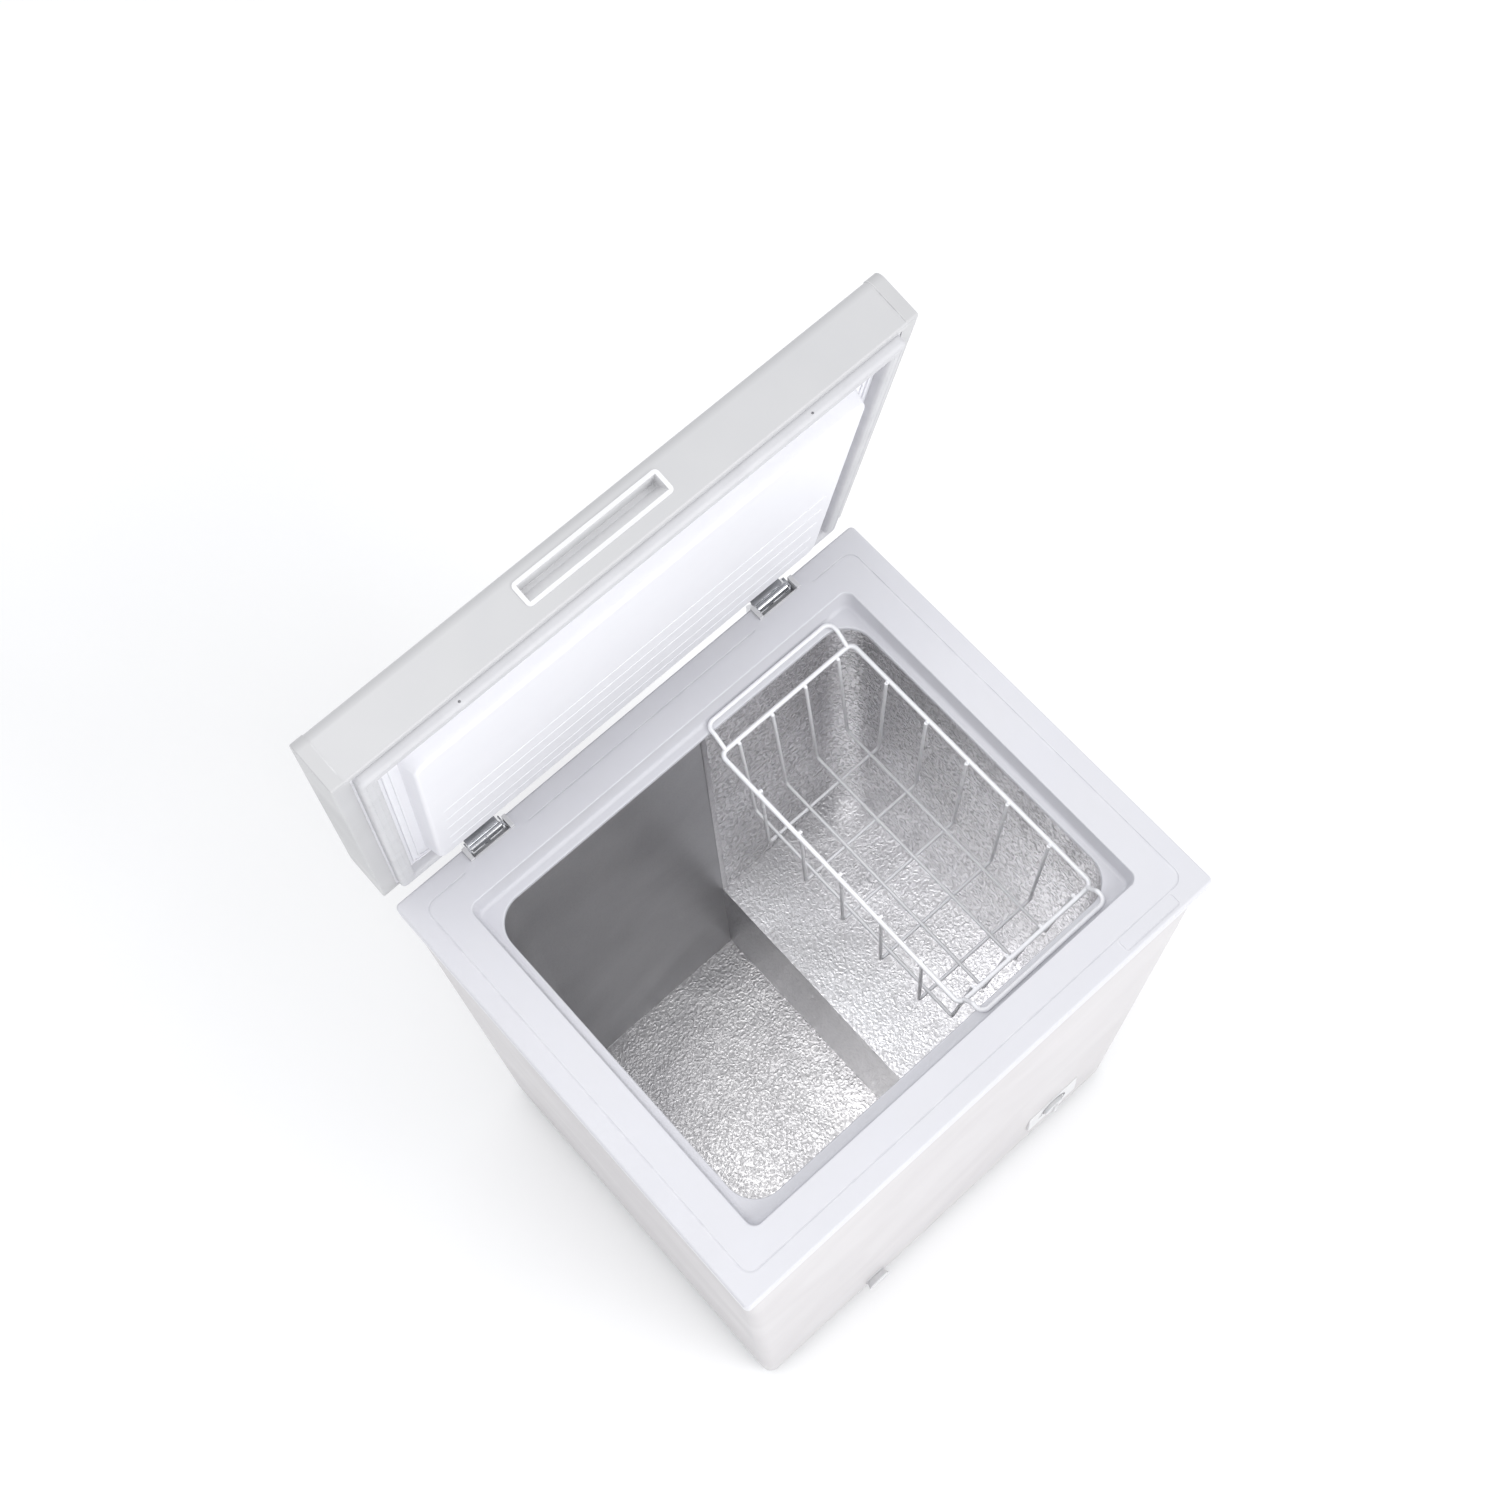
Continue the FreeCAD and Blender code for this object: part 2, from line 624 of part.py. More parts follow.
# ---------------------------------------------------------------- insulated cabinet
def cavity_block(grow, z_floor, z_step, z_top):
    """The whole stepped inside of the liner as one block, grown outwards by grow."""
    x = LINER_X + grow
    y = LINER_Y + grow
    block = slab(-x, x, -y, y, LINER_R + grow, z_floor, z_top)
    return block.cut(box(STEP_X + grow, x + 1, -y - 1, y + 1, z_floor - 1, z_step))


def make_liner():
    """Embossed aluminium: side walls, deep floor, and the step over the machine bay."""
    outer = cavity_block(LINER_T, FLOOR_Z - LINER_T, STEP_Z - LINER_T, LEDGE_UNDER)
    shell = outer.cut(cavity_block(0.0, FLOOR_Z, STEP_Z, LEDGE_UNDER + 1))
    floor_zone = box(-HALF_W, STEP_X + LINER_T, -HALF_D, HALF_D, FLOOR_Z - LINER_T, FLOOR_Z)
    step_zone = box(STEP_X, HALF_W, -HALF_D, HALF_D, FLOOR_Z, STEP_Z)
    core = cavity_block(0.0, FLOOR_Z - LINER_T, STEP_Z - LINER_T, LEDGE_UNDER + 1)
    riser = box(STEP_X, STEP_X + LINER_T, -LINER_Y, LINER_Y, FLOOR_Z, STEP_Z)
    raised = slab(-LINER_X, LINER_X, -LINER_Y, LINER_Y, LINER_R, STEP_Z - LINER_T, STEP_Z)
    raised = raised.common(box(STEP_X, HALF_W, -HALF_D, HALF_D, 0, STEP_Z))
    floor = shell.common(floor_zone)
    floor = drill(floor, [V(DRAIN_X, DRAIN_Y, FLOOR_Z)], DRAIN_R + HOLE_CLEAR, 3, V(0, 0, 1))
    step = riser.fuse(raised).removeSplitter()
    walls = shell.cut(floor_zone).cut(step)
    put("liner_walls", walls)
    put("liner_floor", floor)
    put("liner_step", step)
    return shell


def make_bay_wall():
    """Sheet that lines the machine bay: an upright wall and a ceiling."""
    wall = box(BAY_X, BAY_X + SHEET, -IN_Y, FLANGE_Y, BASE_TOP, BAY_TOP)
    wall = wall.fuse(box(BAY_X, IN_X, -IN_Y, FLANGE_Y, BAY_CEILING, BAY_TOP)).removeSplitter()
    r = BODY_R - 2 * SHEET
    wall = wall.common(slab(SHEET - IN_X, IN_X - SHEET, SHEET - IN_Y, FLANGE_Y - SHEET,
                            [r, r, BACK_R / 2, BACK_R / 2], BASE_TOP, BAY_TOP))
    wall = drill(wall, [COND_START], COND_R + CLEAR, 30, V(1, 0, 0))
    up = V(0, 0, 1)
    ports = [V(place.x, place.y, BAY_TOP) for place in (EVAP_IN, EVAP_OUT)]
    wall = drill(wall, ports, EVAP_R + CLEAR, 5, up)
    wall = drill(wall, [V(COND_END.x, COND_END.y, BAY_TOP)], COND_R + CLEAR, 5, up)
    return wall


def make_frame():
    """Moulded top frame: flat top, skirt over the steel, stepped well and the mouth's lip."""
    low = FRAME_TOP - FRAME_SKIRT
    frame = slab(-HALF_W, HALF_W, -HALF_D, HALF_D, FRAME_R, low, FRAME_TOP)
    frame = frame.makeFillet(FRAME_EDGE_R, edges_at(frame, FRAME_TOP, HALF_W + 1, HALF_D + 1))
    corners = [BODY_R, BODY_R, BACK_R, BACK_R]
    frame = frame.cut(slab(-BODY_X, BODY_X, -BODY_Y, BODY_Y, corners, low - 1, STEEL_TOP))
    foot = RECESS_DRAFT * (RECESS_H + FRAME_SKIN) / RECESS_H
    skin = FRAME_SKIN
    frame = frame.fuse(pan(RECESS_X + skin - foot, RECESS_Y + skin - foot, RECESS_R + skin, LEDGE_UNDER,
                           RECESS_X + skin, RECESS_Y + skin, RECESS_R + skin, FRAME_TOP))
    frame = frame.fuse(slab(-MOUTH_X - skin, MOUTH_X + skin, -MOUTH_Y - skin, MOUTH_Y + skin,
                            MOUTH_R + skin, LIP_Z, LEDGE_Z))
    well = pan(RECESS_X - RECESS_DRAFT, RECESS_Y - RECESS_DRAFT, RECESS_R, LEDGE_Z,
               RECESS_X, RECESS_Y, RECESS_R, FRAME_TOP)
    well = well.makeFillet(RECESS_FLOOR_R, edges_at(well, LEDGE_Z, HALF_W, HALF_D))
    frame = frame.cut(well)
    frame = frame.cut(slab(-MOUTH_X, MOUTH_X, -MOUTH_Y, MOUTH_Y, MOUTH_R, LIP_Z - 1, FRAME_TOP + 1))
    frame = frame.makeFillet(1.4, edges_at(frame, FRAME_TOP, RECESS_X + 1, RECESS_Y + 1))
    frame = frame.makeFillet(1.6, edges_at(frame, LEDGE_Z, MOUTH_X + 1, MOUTH_Y + 1))
    frame = frame.cut(frame_bead())
    for x in HINGES.values():
        frame = frame.cut(hinge_notch(x, low - 1))
    put("top_frame", frame)
    return frame


def frame_bead():
    """The fine line engraved round the frame's top, and the small outline at the front right."""
    def ring(x0, x1, y0, y1, r):
        low = FRAME_TOP - BEAD_DEPTH
        line = slab(x0, x1, y0, y1, r, low, FRAME_TOP + 1)
        w = BEAD_W
        return line.cut(slab(x0 + w, x1 - w, y0 + w, y1 - w, r - w, low - 1, FRAME_TOP + 2))
    x = HALF_W - BEAD_INSET
    y = HALF_D - BEAD_INSET
    bead = ring(-x, x, -y, y, BEAD_R)
    for hinge in HINGES.values():
        bead = bead.cut(box(hinge - BEAD_STOP, hinge + BEAD_STOP, y - 3, y + 1, LEDGE_Z, FRAME_TOP + 3))
    tab = ring(TAB_RIGHT - TAB_W, TAB_RIGHT, TAB_FRONT - HALF_D, -y, 3.0)
    tab = tab.cut(box(0, HALF_W, -y - BEAD_W, 0, LEDGE_Z, FRAME_TOP + 3))
    return bead.fuse(tab)


def foam_zones():
    """Where the foam is parted: base with the step, four walls, four corner posts and a rim."""
    low = FLOOR_Z - LINER_T
    high = STEP_Z - LINER_T
    x = LINER_X - LINER_R
    y = LINER_Y - LINER_R
    top = LEDGE_UNDER
    walls = [box(-HALF_W, 0, -y, y, low, top), box(0, HALF_W, -y, y, high, top),
             box(-x, x, -HALF_D, 0, high, top), box(-x, x, 0, HALF_D, high, top)]
    posts = [box(-HALF_W, -x, -HALF_D, -y, low, top), box(-HALF_W, -x, y, HALF_D, low, top),
             box(x, HALF_W, -HALF_D, -y, high, top), box(x, HALF_W, y, HALF_D, high, top)]
    under = box(-HALF_W, HALF_W, -HALF_D, HALF_D, 0, low)
    base = under.fuse(box(-x, HALF_W, -HALF_D, HALF_D, low, high)).removeSplitter()
    rim = box(-HALF_W, HALF_W, -HALF_D, HALF_D, top, FRAME_TOP)
    return {"foam_base": [base], "foam_walls": walls, "foam_corners": posts, "foam_rim": [rim]}


def make_foam(neighbours):
    """Foamed in place, so it is the space that is left, with grooves for the tubes."""
    r = BODY_R - SHEET
    foam = slab(-IN_X, IN_X, -IN_Y, IN_Y, [r, r, 2, 2], BASE_TOP, STEEL_TOP)
    foam = foam.cut(cavity_block(LINER_T, FLOOR_Z - LINER_T, STEP_Z - LINER_T, FRAME_TOP + 1))
    foam = foam.cut(box(BAY_X, IN_X + 1, -HALF_D, HALF_D, BASE_TOP - 1, BAY_TOP))
    lean = RECESS_DRAFT + RECESS_DRAFT * FRAME_SKIN / RECESS_H
    x = RECESS_X + FRAME_SKIN
    y = RECESS_Y + FRAME_SKIN
    r = RECESS_R + FRAME_SKIN
    foam = foam.cut(pan(x - lean, y - lean, r, LEDGE_UNDER, x, y, r, FRAME_TOP))
    for x in HINGES.values():
        foam = foam.cut(hinge_notch(x, NOTCH_Z))
        foam = drill(foam, bracket_screw_places(x), SCREW_HOLE, SCREW_L + HINGE_T, BACK)
    foam = drill(foam, back_screw_places(), SCREW_HOLE, SCREW_L + 1, BACK)
    for points, bends, radius in ((*evaporator_points(), EVAP_R), (*condenser_points(), COND_R),
                                  (drain_points(), DRAIN_BEND, DRAIN_R)):
        foam = foam.cut(tube(points, bends, radius + GROOVE))
    for piece in neighbours:
        foam = foam.cut(piece)
    for node, zones in foam_zones().items():
        blocks = [max(foam.common(zone).Solids, key=lambda s: s.Volume) for zone in zones]
        put(node, Part.makeCompound(blocks) if len(blocks) > 1 else blocks[0])


# ---------------------------------------------------------------- cooling system
def make_compressor():
    low = COMP_PLATE_Z - 6
    shell = cyl(COMP_R, COMP_H, V(COMP_X, COMP_Y, low))
    rims = [e for e in shell.Edges if e.BoundBox.XLength > COMP_R]
    shell = shell.makeFillet(24.0, rims)
    shell = shell.fuse(cyl(COMP_R + 3.5, 4.0, V(COMP_X, COMP_Y, low + COMP_H * 0.55)))
    half_x = COMP_FOOT_X + 10
    half_y = COMP_FOOT_Y + 12
    plate = slab(COMP_X - half_x, COMP_X + half_x, COMP_Y - half_y, COMP_Y + half_y, 10,
                 COMP_PLATE_Z, COMP_PLATE_Z + COMP_PLATE_T)
    for x, y in compressor_feet():
        plate = plate.cut(cyl(GROMMET_NECK, 20, V(x, y, COMP_PLATE_Z - 5)))
    stub = tube([V(COMP_X, COMP_Y - COMP_R + 8, low + COMP_H * 0.7),
                 V(COMP_X, COMP_Y - COMP_R - 14, low + COMP_H * 0.7),
                 V(COMP_X, COMP_Y - COMP_R - 14, low + COMP_H * 0.95)], 8.0, LINE_R)
    compressor = shell.fuse(plate).fuse(stub)
    put("compressor", compressor)
    return shell


def make_grommets():
    up = V(0, 0, 1)
    grommets = []
    bolts = []
    neck_top = COMP_PLATE_Z + COMP_PLATE_T
    for x, y in compressor_feet():
        spool = cyl(GROMMET_R, GROMMET_H, V(x, y, BASE_TOP))
        spool = spool.fuse(cyl(GROMMET_NECK, COMP_PLATE_T, V(x, y, COMP_PLATE_Z)))
        spool = spool.fuse(cyl(GROMMET_R, 3.0, V(x, y, neck_top)))
        grommets.append(spool.cut(cyl(BOLT_R + HOLE_CLEAR, 40, V(x, y, FOOT_H))))
        head_at = V(x, y, neck_top + 3.0)
        bolt = screw(NUT_R, NUT_H, BOLT_R, head_at.z - FOOT_H + NUT_H, head_at, up)
        nut = Part.Face(Part.makePolygon([V(x + NUT_R * math.cos(math.radians(60 * i)),
                                            y + NUT_R * math.sin(math.radians(60 * i)),
                                            FOOT_H - NUT_H) for i in range(7)])).extrude(V(0, 0, NUT_H))
        bolts.append(bolt.fuse(nut))
    put("compressor_grommets", Part.makeCompound(grommets))
    put("compressor_bolts", Part.makeCompound(bolts))


def make_relay(shell):
    """Plastic cover over the compressor's starting relay."""
    low = COMP_PLATE_Z + 34
    cover = box(COMP_X - 62, COMP_X - 18, COMP_Y - COMP_R - 6, COMP_Y - 30, low, low + 58)
    front = [e for e in cover.Edges if abs(e.BoundBox.YMax - (COMP_Y - COMP_R - 6)) < 0.01]
    cover = cover.makeFillet(4.0, front)
    put("relay_cover", cover.cut(shell))


def make_lines(shell):
    points, bends = evaporator_points()
    put("evaporator_tube", tube(points, bends, EVAP_R))
    points, bends = condenser_points()
    put("condenser_tube", tube(points, bends, COND_R))
    drier = cyl(DRIER_R, DRIER_L - 24, V(COND_END.x, COND_END.y, DRIER_LOW + 12))
    drier = drier.fuse(Part.makeCone(COND_R, DRIER_R, 12, V(COND_END.x, COND_END.y, DRIER_LOW)))
    drier = drier.fuse(Part.makeCone(DRIER_R, COND_R, 12, V(COND_END.x, COND_END.y, COND_END.z - 12)))
    put("filter_drier", drier)
    put("capillary_tube", tube(capillary_points(), 12.0, CAPILLARY_R))
    side = COMP_R - 4
    level = COMP_PLATE_Z + COMP_H * 0.62
    run_z = EVAP_OUT.z - 24
    out_x = COMP_X + COMP_R + 14
    suction = tube([EVAP_OUT, V(EVAP_OUT.x, EVAP_OUT.y, run_z), V(out_x, COMP_Y, run_z),
                    V(out_x, COMP_Y, level), V(COMP_X + side, COMP_Y, level)], [8.0, 10.0, 7.0], LINE_R)
    put("suction_line", suction.cut(shell))
    in_x = COMP_X - COMP_R - 10
    discharge = tube([V(COMP_X - side, COMP_Y + 10, level), V(in_x, COMP_Y + 10, level),
                      V(in_x, COMP_Y + 10, COND_START.z), V(in_x, COND_Y, COND_START.z), COND_START],
                     [6.0, 8.0, 5.0], COND_R)
    put("discharge_line", discharge.cut(shell))


# ---------------------------------------------------------------- thermostat
def make_thermostat():
    """Wedge-faced panel low on the front, its control body, lamp and knob."""
    half = PANEL_W / 2
    flange = box(PANEL_X - half, PANEL_X + half, DIAL_SEAT, -BODY_Y, PANEL_LOW, PANEL_TOP)
    inner = half - PANEL_LAP - HOLE_CLEAR
    low = PANEL_LOW + PANEL_LAP + HOLE_CLEAR
    top = PANEL_TOP - PANEL_LAP - HOLE_CLEAR
    deep = -BODY_Y + 12
    wedge = along_x([(DIAL_SEAT, PANEL_TOP - 1), (-BODY_Y - PANEL_PROUD, PANEL_LOW + 2),
                     (-BODY_Y - PANEL_PROUD + 1, PANEL_LOW), (DIAL_SEAT, PANEL_LOW)],
                    PANEL_X - half, PANEL_X + half)
    well = box(PANEL_X - inner, PANEL_X + inner, -BODY_Y, deep, low, top)
    t = PANEL_T
    well = well.cut(box(PANEL_X - inner + t, PANEL_X + inner - t, -BODY_Y + 1, deep + 1, low + t, top - t))
    panel = flange.fuse(wedge).fuse(well).removeSplitter()
    dial = V(PANEL_X, DIAL_SEAT, DIAL_Z)
    panel = panel.cut(cyl(KNOB_R + 1.2, 20, dial, FRONT))
    panel = panel.cut(cyl(SHAFT_R + CLEAR, 40, dial + V(0, 20, 0), FRONT))
    lamp_hole = box(PANEL_X - LAMP_W / 2, PANEL_X + LAMP_W / 2, -BODY_Y - 10, deep, LAMP_Z, LAMP_Z + LAMP_H)
    panel = panel.cut(lamp_hole)
    put("thermostat_panel", panel)
    lamp_front = -BODY_Y - PANEL_PROUD + 0.2
    lamp = box(PANEL_X - LAMP_W / 2, PANEL_X + LAMP_W / 2, lamp_front, -BODY_Y + 9, LAMP_Z, LAMP_Z + LAMP_H)
    put("indicator_lamp", lamp)
    body = box(PANEL_X - 20, PANEL_X + 20, deep, deep + 28, DIAL_Z - 18, DIAL_Z + 18)
    body = body.makeFillet(2.0, [e for e in body.Edges if e.BoundBox.YLength > 20])
    body = body.cut(cyl(SHAFT_R + SHAFT_FIT, 14, V(PANEL_X, deep - 1, DIAL_Z), BACK))
    put("thermostat_body", body)
    face = dial + V(0, -CLEAR, 0)
    knob = cyl(KNOB_R, KNOB_H - KNOB_GRIP, face, FRONT)
    knob = knob.makeFillet(1.2, [e for e in knob.Edges if e.BoundBox.YMax < face.y - 1])
    half = KNOB_R - 1.5
    grip = box(PANEL_X - 2.6, PANEL_X + 2.6, face.y - KNOB_H, face.y - 1, DIAL_Z - half, DIAL_Z + half)
    grip = grip.makeFillet(1.2, [e for e in grip.Edges if e.BoundBox.YMax < face.y - KNOB_H + 0.01])
    stem = cyl(SHAFT_R, deep - face.y + 11, face, BACK)
    knob = knob.fuse(grip).fuse(stem)
    pointer = box(PANEL_X - 0.6, PANEL_X + 0.6, face.y - KNOB_H - 1, face.y - KNOB_H + 0.5,
                  DIAL_Z + 2, DIAL_Z + KNOB_R)
    put("thermostat_knob", knob.cut(pointer))


# ---------------------------------------------------------------- drain
def make_drain():
    """Pipe from the deep floor to the front, with a plug inside and a cap outside."""
    up = V(0, 0, 1)
    inner_mouth = V(DRAIN_X, DRAIN_Y, FLOOR_Z)
    outer_mouth = V(DRAIN_X, -BODY_Y, DRAIN_Z)
    pipe = tube(drain_points(), DRAIN_BEND, DRAIN_R)
    pipe = pipe.fuse(cyl(DRAIN_R + 4, DRAIN_FLANGE, inner_mouth, up))
    pipe = pipe.fuse(cyl(DRAIN_R + 4, DRAIN_FLANGE, outer_mouth, FRONT))
    pipe = pipe.cut(tube(drain_points(), DRAIN_BEND, DRAIN_BORE))
    pipe = pipe.cut(cyl(DRAIN_BORE, 3, inner_mouth, up)).cut(cyl(DRAIN_BORE, 3, outer_mouth, FRONT))
    put("drain_pipe", pipe)
    seat = outer_mouth + V(0, -DRAIN_FLANGE - CLEAR, 0)
    cap = Part.makeCone(CAP_ROOT_R, CAP_R, CAP_H, seat, FRONT)
    cap = cap.makeFillet(1.2, [e for e in cap.Edges if e.BoundBox.YMax < seat.y - CAP_H + 0.01])
    cap = cap.fuse(cyl(DRAIN_BORE - CLEAR, PLUG_STEM, seat, BACK))
    put("drain_cap", cap)
    rest = inner_mouth + V(0, 0, DRAIN_FLANGE + CLEAR)
    plug = cyl(DRAIN_R + 2.5, PLUG_H, rest)
    plug = plug.makeFillet(1.2, edges_at(plug, rest.z + PLUG_H, HALF_W, HALF_D))
    plug = plug.fuse(cyl(DRAIN_BORE - CLEAR, PLUG_STEM, rest, V(0, 0, -1)))
    grip = box(DRAIN_X - 8, DRAIN_X + 8, DRAIN_Y - 1.5, DRAIN_Y + 1.5, rest.z + 1, rest.z + PLUG_H + 6)
    put("floor_plug", plug.fuse(grip))


# ---------------------------------------------------------------- hinges
def tail_point(x, turned):
    """End of the leaf's tail, where the spring hooks on: closed, or swung open."""
    rise = math.radians(TAIL_RISE)
    y = PIVOT_Y + TAIL_L * math.cos(rise)
    z = PIVOT_Z + TAIL_L * math.sin(rise)
    if turned:
        y, z = swing(y, z)
    return V(x, y, z)


def make_hinge(side, x):
    cover = box(x - HINGE_W / 2 + 0.1, x + HINGE_W / 2 - 0.1, NOTCH_Y + 0.1, IN_Y - 0.1, NOTCH_Z, FRAME_TOP)
    for edge in (-1, 1):
        near = x + edge * (HINGE_W / 2 - CHEEK_T)
        far = x + edge * (HINGE_W / 2 - 0.1)
        cover = cover.fuse(box(min(near, far), max(near, far), NOTCH_Y + 0.1, HALF_D - 0.5,
                               NOTCH_Z, FRAME_TOP + HINGE_COVER_RISE))
    gap = HINGE_W / 2 - CHEEK_T
    cover = cover.cut(box(x - gap, x + gap, NOTCH_Y + 1.3, HALF_D + 1, NOTCH_Z + PLASTIC_T, FRAME_TOP + 20))
    put("hinge_cover_%s" % side, cover.removeSplitter())

    y0 = BODY_Y
    y1 = BODY_Y + EAR_DEPTH
    top = FRAME_TOP - EAR_TOP
    plate = box(x - BRACKET_HALF, x + BRACKET_HALF, y0, y0 + HINGE_T,
                FRAME_TOP - BRACKET_H, FRAME_TOP - HINGE_COVER_FLOOR - 4)
    outline = [(y0, FRAME_TOP - EAR_H), (y1, FRAME_TOP - EAR_H + 8), (y1, FRAME_TOP - 20),
               (PIVOT_Y + 6, top), (PIVOT_Y - 5.5, top), (PIVOT_Y - 5.5, FRAME_TOP - HINGE_COVER_FLOOR + 1.5),
               (y0, FRAME_TOP - HINGE_COVER_FLOOR + 1.5)]
    bracket = plate
    for edge in (-1, 1):
        outer = x + edge * BRACKET_HALF
        inner = x + edge * (BRACKET_HALF - HINGE_T)
        bracket = bracket.fuse(along_x(outline, min(outer, inner), max(outer, inner)))
    anchor = V(x - BRACKET_HALF, BODY_Y + ANCHOR_Y, FRAME_TOP - ANCHOR_DROP + 4)
    bracket = bracket.fuse(cyl(ANCHOR_R, 2 * BRACKET_HALF, anchor, V(1, 0, 0)))
    bracket = drill(bracket, [V(x, PIVOT_Y, PIVOT_Z)], PIN_R, BRACKET_HALF + 5, V(1, 0, 0))
    bracket = drill(bracket, bracket_screw_places(x), SCREW_HOLE, 4, BACK)
    put("hinge_bracket_%s" % side, bracket.removeSplitter())

    pin_half = BRACKET_HALF + 0.4
    pin = cyl(PIN_R, 2 * pin_half, V(x - pin_half, PIVOT_Y, PIVOT_Z), V(1, 0, 0))
    put("hinge_pin_%s" % side, pin)

    make_leaf(side, x)
    make_spring(side, x)


def make_leaf(side, x):
    """Lid half of the hinge: plate under the lid, leg, rolled knuckle and the spring's tail."""
    leg_out = PIVOT_Y + KNUCKLE_R
    barrel = cyl(KNUCKLE_R, 2 * LEAF_HALF, V(x - LEAF_HALF, PIVOT_Y, PIVOT_Z), V(1, 0, 0))
    leg = box(x - LEAF_HALF, x + LEAF_HALF, leg_out - HINGE_T, leg_out, PIVOT_Z, RIM_Z)
    plate = box(x - LEAF_HALF, x + LEAF_HALF, leg_out - LEAF_REACH, leg_out, RIM_Z - HINGE_T, RIM_Z)
    tail = box(x - TAIL_HALF, x + TAIL_HALF, 0, TAIL_L + 2.5, -HINGE_T, HINGE_T)
    tail.translate(V(0, PIVOT_Y, PIVOT_Z))
    tail.rotate(V(x, PIVOT_Y, PIVOT_Z), V(1, 0, 0), TAIL_RISE)
    leaf = barrel.fuse(leg).fuse(plate).fuse(tail).removeSplitter()
    bore = cyl(PIN_R + PIN_FIT, 2 * LEAF_HALF + 2, V(x - LEAF_HALF - 1, PIVOT_Y, PIVOT_Z), V(1, 0, 0))
    leaf = leaf.cut(bore)
    over = KNUCKLE_R + 1
    seam = box(x - 0.4, x + 0.4, PIVOT_Y - over, PIVOT_Y - PIN_R - 1, PIVOT_Z - 3, PIVOT_Z + over)
    leaf = leaf.cut(seam)
    hook = tail_point(x, False)
    fork = box(x - 1.5, x + 1.5, TAIL_L - 4.5, TAIL_L + 3, -HINGE_T - 1, HINGE_T + 1)
    fork.translate(V(0, PIVOT_Y, PIVOT_Z))
    fork.rotate(V(x, PIVOT_Y, PIVOT_Z), V(1, 0, 0), TAIL_RISE)
    leaf = leaf.cut(fork).fuse(cyl(HOOK_R, 2 * TAIL_HALF, hook - V(TAIL_HALF, 0, 0), V(1, 0, 0)))
    leaf = drill(leaf, leaf_screw_places(x), SCREW_HOLE, 4, V(0, 0, 1))
    put_lid("hinge_leaf_%s" % side, leaf)


def leaf_screw_places(x):
    y = PIVOT_Y + KNUCKLE_R - LEAF_REACH / 2 - 1
    return [V(x - 8.5, y, RIM_Z - HINGE_T), V(x + 8.5, y, RIM_Z - HINGE_T)]


def make_spring(side, x):
    """Extension spring from the leaf's tail down to the bracket's anchor, as it lies open."""
    top = tail_point(x, True)
    foot = V(x, BODY_Y + ANCHOR_Y, FRAME_TOP - ANCHOR_DROP + 4)
    axis = (top - foot).normalize()
    length = (top - foot).Length
    height = SPRING_COILS * SPRING_PITCH
    helix = Part.makeHelix(SPRING_PITCH, height, SPRING_COIL_R)
    ring = Part.Wire(Part.makeCircle(SPRING_WIRE_R, V(SPRING_COIL_R, 0, 0), V(0, 1, 0)))
    coil = Part.Wire(helix).makePipeShell([ring], True, True)
    start = (length - height) / 2
    coil.translate(V(0, 0, start))
    across = V(1, 0, 0)
    low_eye = ANCHOR_R + EYE_GAP + SPRING_WIRE_R
    top_eye = HOOK_R + EYE_GAP + SPRING_WIRE_R
    lower = tube([V(0, 0, low_eye), V(0, 0, start * 0.7), V(SPRING_COIL_R, 0, start)], 1.0, SPRING_WIRE_R)
    upper = tube([V(SPRING_COIL_R, 0, start + height), V(0, 0, length - start * 0.7),
                  V(0, 0, length - top_eye)], 1.0, SPRING_WIRE_R)
    spring = coil.fuse(lower).fuse(upper)
    spring = spring.fuse(Part.makeTorus(low_eye, SPRING_WIRE_R, V(0, 0, 0), across))
    spring = spring.fuse(Part.makeTorus(top_eye, SPRING_WIRE_R, V(0, 0, length), across))
    spring.Placement = FreeCAD.Placement(foot, FreeCAD.Rotation(V(0, 0, 1), axis))
    put("hinge_spring_%s" % side, spring)


def make_hinge_screws():
    bracket = [sheet_screw(at, BACK) for x in HINGES.values() for at in bracket_screw_places(x)]
    put("hinge_bracket_screws", Part.makeCompound(bracket))
    down = V(0, 0, -1)
    leaf = [screw(3.2, 1.5, SCREW_R, SCREW_L, at, down)
            for x in HINGES.values() for at in leaf_screw_places(x)]
    put_lid("hinge_leaf_screws", Part.makeCompound(leaf))


# ---------------------------------------------------------------- lid
def lid_block(inset, x0, x1, low=RIM_Z):
    """The lid's rounded section, shrunk by inset, between two places along X."""
    radii = [max(r - inset, 0.4) for r in LID_RADII]
    return bar(LID_FRONT + inset, LID_BACK - inset, low, LID_TOP - inset, radii, x0, x1)


def bulge(shrink, low, high):
    """The lid liner's shallow bulge, about the recess it drops into."""
    foot = BULGE_FOOT_GAP + shrink
    face = BULGE_TOP_GAP + shrink
    return pan(RECESS_X - face, RECESS_Y - face, BULGE_R, low,
               RECESS_X - foot, RECESS_Y - foot, BULGE_R + 4, high)


def pocket_outline(grow):
    """Side view of the handle's pocket: it slopes in and up from the lower edge."""
    z0 = RIM_Z + HANDLE_LOW + HANDLE_BEZEL
    z1 = RIM_Z + HANDLE_LOW + HANDLE_H - HANDLE_BEZEL
    deep = LID_FRONT + HANDLE_DEPTH
    return [(LID_FRONT - 3, z0 - grow), (LID_FRONT, z0 - grow), (deep + grow, z1 - HANDLE_BACK_H - grow),
            (deep + grow, z1 + grow), (LID_FRONT - 3, z1 + grow)]


